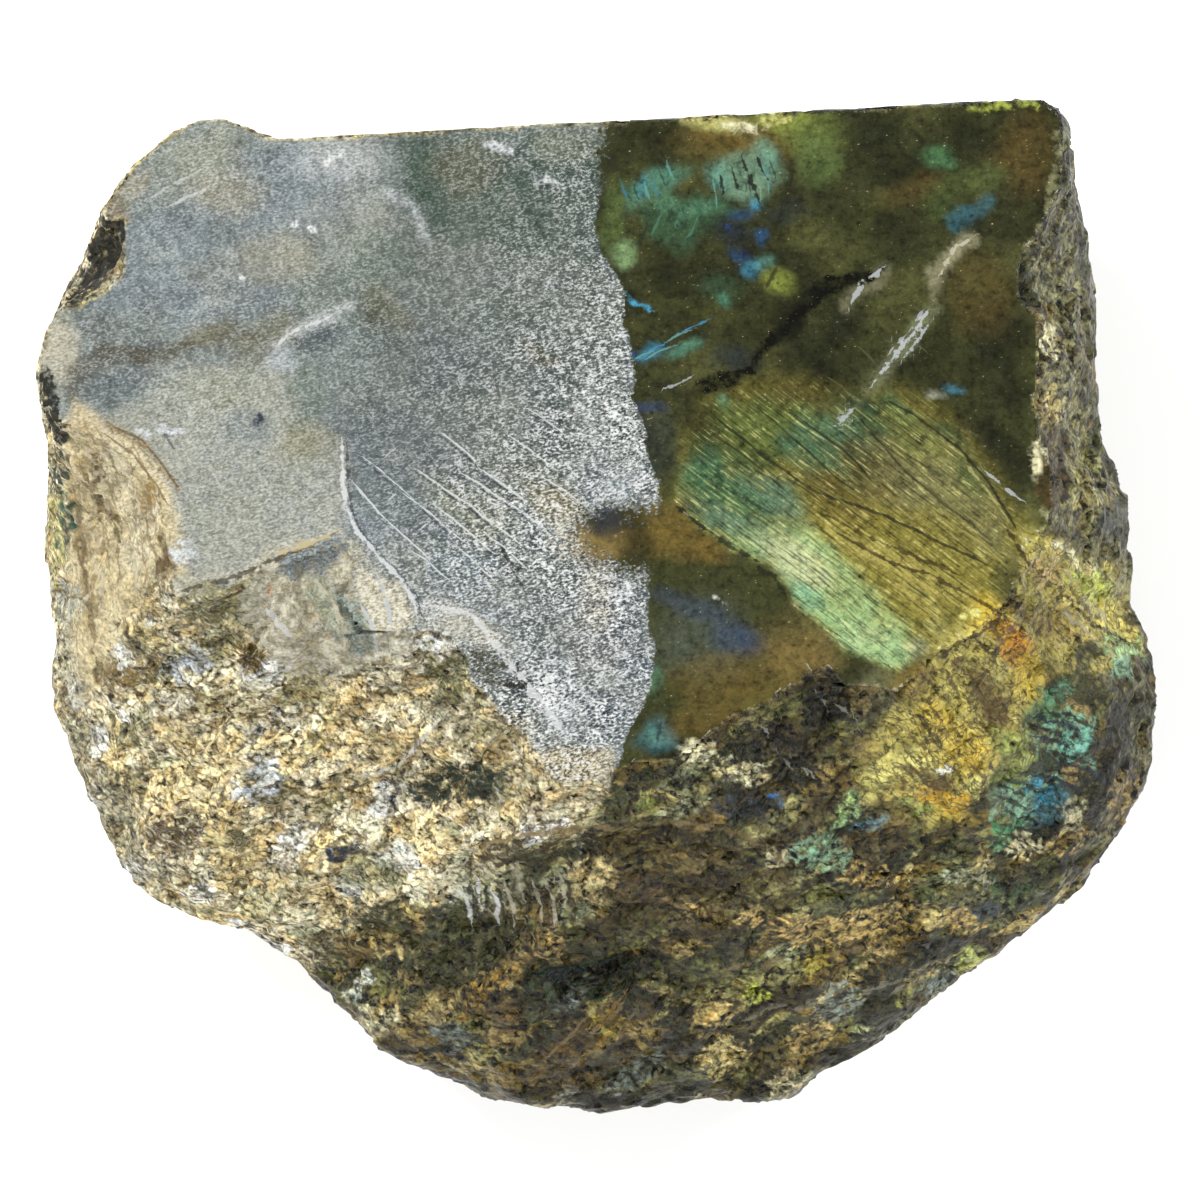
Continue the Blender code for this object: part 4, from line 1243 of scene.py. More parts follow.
    combs: Combs = (
        Comb((10, 18.6), (31, 20.4), (6.6, -5.2), 12, 0.16, (Tint.COAL, Tint.OLIVE, Tint.MOSS), 0.5, 0.8),
        Comb((9.6, 13.8), (32, 14.6), (6.4, -4.4), 13, 0.16, (Tint.PINE, Tint.COAL,
            Tint.LICHEN), 0.5, 0.8),
        Comb((16, 7.6), (34, 9.6), (6, -4.6), 11, 0.16, (Tint.UMBER, Tint.STRAW, Tint.BROWN), 0.5, 0.8),
        Comb((20, 2.4), (32, 3.4), (5, -4.6), 8, 0.16, (Tint.FOREST, Tint.UMBER), 0.5, 1.5),
    )

    def paint(self, canvas: Canvas) -> None:
        """Paints the crystal's flash colours, a painted sheen, inside its outline, and its cleavage lines."""
        soft = self.soft + self.softer_by * self.softer.at(canvas.plan)
        inside = inside_edge(outline_distance(canvas.ragged, self.outline), soft) * canvas.up
        ground = canvas.layers[Layer.WET].copy()
        canvas.layers[Layer.WET][:] = Tint.GOLD.light()
        canvas.lay((Layer.WET,), self.colours)
        flashing = canvas.layers[Layer.WET]
        canvas.layers[Layer.WET] = ground + inside[:, None] * (flashing - ground)
        canvas.lift(Layer.WET, self.teal_part, *self.teal_light)
        canvas.lift(Layer.WET, self.gold_part, *self.gold_light)
        canvas.lift(Layer.WET, self.mint_part, *self.mint_light)
        canvas.flash = np.maximum(canvas.flash, inside)
        everywhere, below = self.wrinkled
        wrinkled = everywhere + below * self.below.at(canvas.plan)
        canvas.wrinkle = np.maximum(canvas.wrinkle, inside * wrinkled)
        canvas.draw(self.seams)
        canvas.comb(self.combs)


@dataclass
class LowerFace:
    """The dark plane below the flashing crystal and the crumbly ground under it."""

    plane: Shapes = (
        Patch(((5.2, 5), (9, 5.2), (13.5, 4.8), (16.8, 3.5), (19, 1), (20, -2), (19, -5.5), (16, -8),
            (11, -10.5), (7, -11.8), (4, -13.5), (5, -8)), Tint.DARK_OLIVE, 0.9, 1.6),
        Spot(10, -3, 9, 8, 0, Tint.SLATE, 0.28, 1),
        Patch(((4.8, 10.6), (7.2, 10.6), (10, 7.8), (13, 6.2), (12.5, 4.4), (8.5, 4.6), (5, 5)),
            Tint.BRONZE, 0.75, 1.8),
        Spot(13.5, -2.6, 6, 2.6, -15, Tint.COBALT, 0.32, 1), Spot(9, 0.4, 9, 2, -20, Tint.COBALT, 0.2, 1),
        Spot(11.7, 1.1, 1.6, 0.5, 0, Tint.FROST), Spot(5.4, -7.3, 2.2, 3.2, 0, Tint.TEAL, 0.55, 1),
        Spot(12, -6.2, 10, 4, 20, Tint.BRONZE, 0.45, 1), Spot(19.5, -4.6, 6, 4, -20, Tint.BRONZE, 0.5, 1),
        Patch(((3.3, -13.9), (4.5, -11.7), (6, -10.7), (7.8, -12.1), (7.8, -13.7), (5.5, -14.6)),
            Tint.SEA, 0.4, 1.6),
        Spot(5.6, -12.8, 3, 2, 0, Tint.AQUA, 0.4, 1.2),
    )
    ground: Shapes = (
        Spot(13, -9.5, 14, 4, 25, Tint.BRONZE, 0.5, 1), Spot(20, -4, 8, 6, -20, Tint.CAMEL, 0.45, 1),
        Spot(22.8, -8.4, 5.4, 4, -30, Tint.BLACK, 0.6, 1), Spot(23, -9.6, 4, 4, 0, Tint.BLACK, 0.7),
        Spot(28, -8.2, 4.4, 4.4, 0, Tint.DRAB, 0.6, 1), Spot(9.9, -14.2, 4.4, 2.8, -20, Tint.PALE, 0.9),
        Spot(14.6, -16.1, 5, 2.6, -15, Tint.PALE, 0.9), Spot(17.9, -13.2, 5.4, 3.8, -20, Tint.BLACK),
        Spot(14.9, -12.6, 3.4, 2, 20, Tint.COAL), Spot(19.3, -16, 4.4, 4, 0, Tint.COAL),
        Spot(8, -16.8, 4, 2.2, 0, Tint.COAL, 0.7), Spot(4.6, -16.8, 4, 2.4, 0, Tint.DARK_OLIVE),
        Spot(14.9, -19.6, 7, 2.8, 0, Tint.INK), Spot(17.7, -18.7, 1.6, 1, 0, Tint.BLUE, 0.7),
        Spot(4.9, -19.7, 3.2, 2.6, 0, Tint.LICHEN), Spot(18.2, -24.6, 4, 2.8, 20, Tint.BONE, 0.9),
        Spot(26.4, -26.6, 4.4, 3, 0, Tint.TAN), Spot(22.2, -24.3, 6, 4.2, 10, Tint.JADE),
        Spot(25, -19.6, 2, 4.2, -20, Tint.MINT), Spot(26.7, -21.3, 3, 1.2, 12, Tint.SKY, 0.55, 1),
        Spot(24.2, -21.6, 1.6, 1, 0, Tint.INK),
        Patch(((0, -22.6), (5, -21.9), (13, -22.2), (19, -24.5), (20.6, -29), (18, -32), (10, -32.8),
            (2, -32), (0, -28)), Tint.PEAT, 0.6, 2),
        Spot(7, -24.6, 9, 2, -8, Tint.BRONZE, 0.45), Spot(4, -27.6, 6, 2.4, -25, Tint.UMBER, 0.7),
        Spot(12, -27, 6, 2.2, -30, Tint.UMBER, 0.6), Spot(9, -30, 7, 2, -20, Tint.CAMEL, 0.45),
    )
    seams: Seams = (
        Seam(((19, 0.6), (17.4, 3.4), (15, 4.8)), 0.3, Tint.COAL, 0.7),
        Seam(((5.4, -14.3), (5.9, -12.4), (6, -11)), 0.2, Tint.INK, 0.6),
        Seam(((2.5, -21.6), (8, -21.2), (14, -22.4), (19, -25.6)), 0.4, Tint.CAMEL, 0.6),
        Seam(((1.5, -23), (7, -22.6), (13, -24), (17, -27.4)), 0.35, Tint.UMBER),
    )

    combs: Combs = (
        # painted highlights: the ash strokes are glints on the black crystals, between their black lines
        Comb((20.4, -6.4), (25, -9.4), (1.6, -2.6), 8, 0.2, (Tint.ASH, Tint.BLACK), 0.75, 3, 0.8),
        Comb((16, -12.4), (19.4, -14.6), (2, -2.4), 5, 0.2, (Tint.ASH, Tint.BLACK), 0.65, 3, 0.8),
    )
    bay: Shapes = (
        Spot(2.4, 7.4, 7, 4.4, -10, Tint.PEAT, 0.75, 1.2),
        Spot(-0.6, 6.8, 5, 4, 0, Tint.CAMEL, 0.85, 1.2), Spot(0.4, 9, 3.4, 2.6, 0, Tint.INK, 0.75, 1),
    )

    def paint(self, canvas: Canvas) -> None:
        """Paints the plane and the crumbly ground, on both layers where the tide line crosses them."""
        canvas.paint((Layer.DRY, Layer.WET), self.bay)
        canvas.paint((Layer.WET,), self.plane + self.ground)
        canvas.draw(self.seams)
        canvas.comb(self.combs)


@dataclass
class GoldenKnot:
    """The knot of small crystals that flash yellow and orange, and the teal and blue ones to its right, their
    flashes painted into the colour as a sheen.
    """

    knot_outline: Points = (
        (30.5, -7), (33, -4.5), (36, -1.5), (39.5, 0.5), (43, -1), (45, -5), (44.5, -9), (41, -13),
        (38.5, -17), (36, -21), (33, -22), (26, -18), (25, -15), (28, -11),
    )
    crystal_outline: Points = (
        (42, 8), (47, 7), (52, 5), (54, -4), (51, -9), (50, -16), (46, -21), (39, -24), (38, -20),
        (42, -13), (44.5, -8), (44.5, -2), (41.5, 2),
    )
    rim: Points = ((43, 8), (52, 8), (56, -2), (52, -6), (46, -3))
    knot_light: Light = (1.45, 3)
    crystal_light: Light = (1.55, 3)
    rim_light: Light = (1.4, 3)
    soft: float = 1.5
    smooth: float = 0.6  # how much of the break's roughness the crystals take away
    ground: Shapes = (Patch(knot_outline, Tint.STRAW, 0.8, 2),)
    # painted sheen: the knot's yellow and orange flash, over its own brown and olive
    knot: Shapes = (
        Spot(38.8, -0.8, 5, 3, -20, Tint.SUN, 0.9, 1), Spot(41.2, -3.1, 5, 3, -35, Tint.ORANGE, 0.8, 1),
        Spot(39.6, -2, 3, 1.6, -35, Tint.AMBER, 0.7), Spot(42.9, -4.8, 3.4, 2.6, -30, Tint.AMBER, 0.8, 1),
        Spot(43.2, -7, 2.8, 5, 10, Tint.SUN, 0.8, 1), Spot(37, -6.6, 6, 1.8, -35, Tint.BROWN, 0.7),
        Spot(31, -7.2, 4.4, 3.4, 30, Tint.BRONZE, 0.8, 1),
        Spot(37.1, -0.3, 2.8, 1.6, 20, Tint.LEMON, 0.6), Spot(34.2, -11, 5.4, 3.4, -40, Tint.SUN, 0.7, 1),
        Spot(36.4, -9, 2.8, 4, 20, Tint.STRAW, 0.7), Spot(39, -9.6, 6, 2.2, -40, Tint.BROWN),
        Spot(36.4, -14, 5, 4, 20, Tint.SUN, 0.75, 1), Spot(37.4, -15.4, 2.4, 2, 20, Tint.AMBER, 0.7),
        Spot(39.6, -13, 2.6, 3.4, 30, Tint.LICHEN), Spot(34.8, -15.6, 1, 0.8, 0, Tint.WHITE),
        Spot(31, -14.8, 5, 3, -30, Tint.LEMON, 0.6, 1), Spot(33.4, -17.2, 5.4, 1.6, -25, Tint.BROWN),
        Spot(34.4, -18.8, 4, 1.5, -20, Tint.AMBER), Spot(35.4, -20.4, 4.6, 2, -30, Tint.SUN, 0.8, 1),
        Spot(33.2, -20.2, 2.4, 1.2, -30, Tint.ORANGE, 0.5), Spot(37.6, -18, 2.6, 2.6, 0, Tint.LEMON, 0.7),
        Spot(31.2, -19.6, 3.6, 2, -30, Tint.LICHEN, 0.7),
        Spot(27.2, -16.4, 3.4, 3.8, -20, Tint.LEMON, 0.6, 1),
        Spot(25.6, -14, 3.6, 3.4, 0, Tint.BROWN, 0.6, 1),
    )
    # painted sheen: the teal, blue and green flash of the crystals to the right, over their own pale, tan and
    # dark colours
    right: Shapes = (
        Patch(((43, 8), (47, 7), (52, 6), (53, 0), (54.5, -4), (50, -8), (46, -6), (43.5, -1), (42, 3)),
            Tint.STRAW, 0.7, 2),
        Spot(49.3, 2.6, 5, 3, -40, Tint.LIME), Spot(51.7, -1.4, 4.4, 3, -35, Tint.STRAW),
        Spot(47.8, 6.2, 5.6, 3.6, -40, Tint.BONE), Spot(50.3, 5.6, 3.4, 2.6, 0, Tint.SAND, 0.6),
        Spot(44.7, 3.9, 4.6, 3, -40, Tint.TAN), Spot(43.4, 1.6, 3.6, 2.2, -40, Tint.GOLD, 0.7),
        Spot(45.6, -1.2, 6.6, 3, -30, Tint.BRONZE, 0.7, 1), Spot(52, -4.1, 4.4, 3, -30, Tint.MINT),
        Spot(52.6, -6, 3.4, 2.4, 0, Tint.JADE), Spot(48.9, -4.4, 3.4, 2.4, 0, Tint.DARK_OLIVE),
        Spot(48.6, -7.6, 5.6, 3.4, 0, Tint.DARK_OLIVE), Spot(53.8, -9, 2.6, 5, 0, Tint.DRAB, 0.7),
        Spot(45.6, -8, 3.4, 2, 30, Tint.TEAL, 0.7),
        Patch(((45.6, -10.4), (48.6, -9.9), (50.1, -12.6), (50, -15.6), (47.8, -16.2), (45.6, -13.2)),
            Tint.AQUA, 0.7, 1.4),
        Patch(((42, -13.6), (44.6, -12), (46, -16.4), (43.4, -19.6), (42.4, -23), (39.6, -24.4),
            (38.8, -21.4), (40.6, -17)), Tint.JADE, 0.75, 1.4),
        Spot(45, -10.6, 4, 3.4, 0, Tint.GREEN, 0.7, 1),
        Spot(43.2, -12.8, 2.4, 4.6, -30, Tint.PINE, 0.7, 1), Spot(44.6, -15.2, 3, 2.4, 0, Tint.PINE, 0.7),
        Spot(42, -13.8, 3, 3.4, 0, Tint.LICHEN), Spot(41.2, -16.4, 3, 2.6, 0, Tint.LEAF, 0.7),
        Spot(41.6, -19, 4, 4, 0, Tint.JADE, 0.7, 1), Spot(44.2, -18.4, 3.4, 2, -30, Tint.SEA),
        Spot(43.6, -20.6, 2.6, 2.4, 0, Tint.SEA, 0.6, 1),
        Spot(45.8, -19.4, 2, 3.6, -20, Tint.SEA, 0.5, 1), Spot(40.8, -21.9, 3.6, 2.2, -30, Tint.EMERALD),
        Spot(39.4, -23.2, 3.4, 1.8, -30, Tint.GREEN, 0.7), Spot(51.6, -13, 4.6, 8, 0, Tint.COAL),
        Spot(50, -17.6, 4.6, 4.4, 0, Tint.COAL), Spot(49.4, -20, 3, 3, 0, Tint.COAL, 0.7),
        Spot(54.2, -13, 2, 6, 0, Tint.DRAB, 0.6), Spot(42.6, -23.6, 3.8, 3, 20, Tint.BONE),
        Spot(47.2, -20.9, 2.8, 3.4, 0, Tint.BONE), Spot(47, -23.4, 3.8, 2.8, 0, Tint.TAN),
        Spot(52.6, -18.9, 2.8, 5, 10, Tint.TAN), Spot(50.6, -22.6, 2.6, 3.6, 0, Tint.DRAB, 0.7),
        Streak(((51.8, 8), (52.4, 4.2), (53, 0.2), (54.8, -2.4)), 1.8, Tint.DRAB, 0.6),
        Spot(36.9, -26.9, 5.4, 3, 0, Tint.GREY, 0.5),
    )
    seams: Seams = (
        Seam(((40.5, -0.6), (38, -2.4), (35.5, -3.4), (33, -6.4)), 0.35, Tint.UMBER),
        Seam(((42.6, -2.6), (40.6, -4.4), (38.4, -6.2), (37, -9)), 0.3, Tint.UMBER, 0.7),
        Seam(((44, -5.4), (41.6, -7.6), (39.6, -11.4)), 0.3, Tint.PEAT, 0.7),
        Seam(((33.4, -9.8), (35, -12.8), (37.6, -17)), 0.3, Tint.PEAT, 0.6),
        Seam(((31.6, -10.4), (33.2, -14.6), (34.6, -17.6)), 0.25, Tint.PEAT, 0.6),
    )
    combs: Combs = (
        Comb((43, -9.6), (44.6, -16.8), (5.4, -1.8), 8, 0.45, (Tint.COAL, Tint.INK), 0.9, 1.5),
        Comb((40.8, -15.8), (38.8, -23), (4.4, -1.6), 8, 0.4, (Tint.COAL, Tint.PINE), 0.85, 1.5),
        Comb((44, 5.6), (49, 6), (4.4, -5.4), 6, 0.3, (Tint.DARK_OLIVE, Tint.LEMON), 0.6, 2),
        Comb((45, -0.6), (50, 1), (4.4, -4), 5, 0.3, (Tint.UMBER, Tint.PALE), 0.6, 2),
        Comb((30.5, -9.5), (41.5, 0.2), (3, -3.4), 10, 0.35, (Tint.UMBER, Tint.BROWN), 0.75, 2.5),
        Comb((30, -13), (39, -7.6), (2.6, -4), 9, 0.3, (Tint.UMBER, Tint.BRONZE), 0.65, 2.5),
        Comb((28, -17), (36.6, -13), (3.4, -3.6), 7, 0.3, (Tint.UMBER, Tint.BROWN), 0.65, 2.5),
    )

    def paint(self, canvas: Canvas) -> None:
        """Paints the knot and the crystals to its right."""
        for outline in (self.knot_outline, self.crystal_outline):
            inside = canvas.within(outline, self.soft)
            canvas.wrinkle = np.maximum(canvas.wrinkle, inside)
            canvas.grit *= 1.0 - self.smooth * inside
        canvas.lay((Layer.WET,), self.ground)
        canvas.paint((Layer.WET,), self.knot + self.right)
        canvas.draw(self.seams)
        canvas.comb(self.combs)
        canvas.lift(Layer.WET, self.knot_outline, *self.knot_light)
        canvas.lift(Layer.WET, self.crystal_outline, *self.crystal_light)
        canvas.lift(Layer.WET, self.rim, *self.rim_light)


@dataclass
class RightEdge:
    """The broken strip along the right of the sawn face."""

    strip: Points = ((43, 36), (49, 36), (52, 10), (43, 8))
    strip_light: Light = (1.55, 2)
    shapes: Shapes = (
        Patch(((45.5, 49), (47, 46), (48.5, 40), (49.2, 31), (49.5, 21), (51, 16), (52.5, 11), (52.8, 5),
            (48.5, 5), (44.5, 8), (43.5, 13), (44, 18), (44, 23), (44.3, 28), (43.3, 32), (42.2, 36),
            (44, 39), (45.2, 44)), Tint.DRAB, 0.75, 1),
        Streak(((47.2, 46), (48.5, 38), (49.2, 30), (49.5, 22), (50.6, 16.5), (52.4, 12), (53, 6)), 2.2,
            Tint.DARK_OLIVE, 0.6),
        Spot(47, 40, 2.6, 6, 5, Tint.DARK_OLIVE, 0.6, 1), Spot(47.6, 33, 3, 5, 0, Tint.SAGE, 0.5, 1),
        Spot(44.9, 26.8, 2, 3, 20, Tint.BONE), Spot(45.2, 20.4, 3, 3.6, 0, Tint.BEIGE),
        Spot(43.8, 15, 1.6, 3.6, 0, Tint.BONE), Spot(45.4, 16, 2.4, 4.6, 10, Tint.UMBER),
        Spot(45.4, 12, 3.4, 4, 0, Tint.UMBER, 0.7), Spot(48.4, 14, 3, 5, 0, Tint.KHAKI, 0.6),
        Spot(49.4, 9.8, 5.4, 4.6, -30, Tint.KHAKI, 0.7), Spot(51.4, 9, 2, 4, 0, Tint.SLATE, 0.6),
    )

    def paint(self, canvas: Canvas) -> None:
        """Paints the strip."""
        canvas.paint((Layer.WET,), self.shapes)
        canvas.lift(Layer.WET, self.strip, *self.strip_light)


@dataclass
class LeftShoulder:
    """The scooped facet at the left, cream with brown flow lines, over a dark green wall."""

    scoop: Points = (
        (-54, 18), (-52.5, 21), (-49.5, 18.5), (-46.5, 17), (-44, 14), (-42.2, 9), (-41.5, 3), (-45, 3),
        (-47, 0), (-50.5, -10), (-52.5, -9), (-53.8, 5),
    )
    soft: float = 2.0
    smooth: float = 0.6  # how much of the break's roughness the facet takes away
    ground: Shapes = (Patch(scoop, Tint.CREAM, 0.85, 1.6),)
    scoop_light: Light = (1.2, 2)
    shapes: Shapes = (
        Spot(-51, 17.6, 4, 4, 0, Tint.SAND, 0.7, 1), Spot(-48, 13, 3, 8, 25, Tint.PALE, 0.5, 1),
        Spot(-46, 6, 4, 6, 20, Tint.PALE, 0.45, 1),
        Streak(((-48.9, 18.4), (-45.8, 16.6), (-43.8, 14.3), (-42.2, 12.2)), 1, Tint.CAMEL, 0.6),
        Streak(((-50.6, 15.2), (-50.4, 11), (-49.9, 8.8)), 1.2, Tint.BROWN, 0.7),
        Streak(((-45.3, 12.6), (-45.2, 9.6)), 0.9, Tint.OCHRE, 0.7),
        Spot(-43.3, 5.2, 1.8, 4.6, 15, Tint.BROWN), Spot(-41.6, 5.8, 2.6, 2.6, 0, Tint.FROST, 0.6),
        Streak(((-52, 14), (-51.8, 8), (-51.4, 3), (-50.8, -3)), 1.4, Tint.TAN, 0.55),
        Spot(-54.4, 12.8, 2.2, 7, 0, Tint.PINE), Spot(-53.4, 8.4, 2.4, 5.4, -10, Tint.FOREST),
        # painted glow: the lemon line along the thin left edge stands in for light shining through it
        Streak(((-54.9, 11), (-54.6, 7), (-54.5, 3)), 1.1, Tint.LEMON),
        Spot(-53.4, 0.7, 3.4, 3.8, 0, Tint.ASH),
        Streak(((-54, -3), (-53.2, -8), (-51.8, -14), (-49, -20), (-46, -26)), 3, Tint.CLAY, 0.6, 1.2),
        Streak(((-55, -6), (-54.2, -12), (-52.8, -16.5), (-49.2, -22.5)), 1, Tint.SAND, 0.7),
        Streak(((-47.6, -6.6), (-45.4, -6.2), (-43.4, -5.2)), 2.4, Tint.CAMEL),
        Spot(-49.4, -7.2, 3, 4.2, 0, Tint.BRONZE, 0.7), Spot(-43.2, 1.6, 3, 2.2, 0, Tint.PALE, 0.6),
    )
    seams: Seams = (
        Seam(((-49.6, 17.6), (-46.6, 15.6), (-44.8, 13), (-43.2, 10.4)), 0.25, Tint.BROWN, 0.7, 1.5),
        Seam(((-48.9, 18.6), (-45.6, 16.8), (-43.6, 14.4), (-42, 12)), 0.25, Tint.UMBER, 0.6, 1.5),
        Seam(((-50.9, 16), (-49, 12), (-47.8, 7)), 0.3, Tint.CAMEL, 0.6),
        Seam(((-52.4, 12), (-51.6, 6), (-51, -1), (-50, -8)), 0.35, Tint.BROWN, 0.6),
        Seam(((-46.8, 13), (-46.4, 9), (-45.4, 6)), 0.3, Tint.CAMEL, 0.6),
    )

    combs: Combs = (
        Comb((-53, 17), (-47, 17.4), (3.4, -9), 7, 0.25, (Tint.CAMEL, Tint.PALE, Tint.TAN), 0.6, 1.5),
        Comb((-52.4, 8), (-45.4, 9.6), (1.6, -9), 7, 0.25, (Tint.BROWN, Tint.PALE,
            Tint.CAMEL), 0.55, 1.5),
    )

    def paint(self, canvas: Canvas) -> None:
        """Paints the facet and the wall below it, which are smoother than the rest of the break."""
        canvas.grit *= 1.0 - self.smooth * canvas.within(self.scoop, self.soft)
        canvas.lay((Layer.DRY,), self.ground)
        canvas.paint((Layer.DRY,), self.shapes)
        canvas.lift(Layer.DRY, self.scoop, *self.scoop_light)
        canvas.draw(self.seams)
        canvas.comb(self.combs)


@dataclass
class Plates:
    """The terrace of thin cleavage plates below the dry face, each with a pale edge."""

    terrace: Points = (
        (-34.5, 4.6), (-30, 6.6), (-26, 8.2), (-23, 5.8), (-20, 2.6), (-18, -1), (-19.5, -4), (-24, -6),
        (-30, -6.8), (-34, -4), (-36, 0.5),
    )
    soft: float = 1.5
    smooth: float = 0.8  # how much of the break's roughness the plates take away
    dusty: float = 0.3
    ground: Shapes = (Patch(terrace, Tint.CLAY, 0.75, 1.6),)
    terrace_light: Light = (1.22, 2)
    shapes: Shapes = (
        # painted shade: the slate band right under the ledge, where its shadow falls on the plates
        Patch(((-32.8, 5.2), (-30, 6.3), (-26, 7.6), (-25.2, 6.2), (-26.5, 4.6), (-28, 3.4),
            (-30.5, 3.6), (-32.2, 3.4)), Tint.SLATE, 0.8, 0.9),
        Patch(PLATE_CHIP, Tint.PALE, 0.85, 0.5), Patch(PLATES[0], Tint.BONE, 0.85, 0.5),
        Patch(PLATES[1], Tint.SAGE, 0.85, 0.5),
        Patch(((-35.2, 0), (-33.8, -0.5), (-31.9, -2.2), (-30.4, -4.6), (-31, -6), (-33, -4.6),
            (-34.6, -2.5)), Tint.BONE, 0.8, 0.5),
        Patch(PLATES[2], Tint.BONE, 0.85, 0.5), Spot(-20.6, 0.4, 3.2, 6, 15, Tint.BONE),
        Patch(PLATE_GAP, Tint.SHALE, 0.8, 0.6), Spot(-32.5, 2.7, 0.5, 0.4, 0, Tint.EMBER, 0.7),
        Patch(((-17.4, 5.4), (-13, 5.2), (-9.3, 0), (-10.5, -1.7), (-14, 0.4), (-17.2, 2)),
            Tint.STEEL, 0.7, 1.2),
        Spot(-12.9, 2.2, 5.4, 3, -30, Tint.SAGE, 0.7, 1),
        Spot(-13.4, -1.4, 8, 3, -22, Tint.BONE, 0.6, 1.2), Spot(-39.1, 1, 6.4, 4, 0, Tint.KHAKI, 0.7),
        Spot(-42, -1.6, 4, 3, 0, Tint.CREAM, 0.6),
    )
    seams: Seams = (
        Seam(((-31.5, 1.6), (-30.2, 0.3), (-28.8, -2), (-27.4, -3.8), (-26.9, -5.3)), 0.35,
            Tint.PALE, 0.9),
        Seam(((-28.7, 3.1), (-26.9, 0.6), (-25.9, -1.5), (-25.4, -4)), 0.35, Tint.PALE, 0.9),
        Seam(((-24.1, 0.6), (-22.8, -1.5), (-22.1, -4.3)), 0.35, Tint.FROST, 0.9),
        Seam(((-34.8, -1.5), (-33, -4)), 0.35, Tint.PALE, 0.9),
        Seam(((-33.5, 0.2), (-30.7, -2.8)), 0.35, Tint.WHITE),
        Seam(((-22.6, 4.2), (-21.3, 1.4), (-21, -1.6), (-22, -3.6)), 0.3, Tint.FROST),
        Seam(((-32.9, 5.4), (-30, 6.4), (-27.6, 7.2), (-26, 8)), 0.4, Tint.CREAM, 0.9),
    )

    def paint(self, canvas: Canvas) -> None:
        """Paints the plates, which are smoother than the rest of the break."""
        inside = canvas.within(self.terrace, self.soft)
        canvas.grit *= 1.0 - self.smooth * inside
        canvas.felt = np.maximum(canvas.felt, self.dusty * inside)
        canvas.lay((Layer.DRY,), self.ground)
        canvas.paint((Layer.DRY,), self.shapes)
        canvas.lift(Layer.DRY, self.terrace, *self.terrace_light)
        canvas.draw(self.seams)


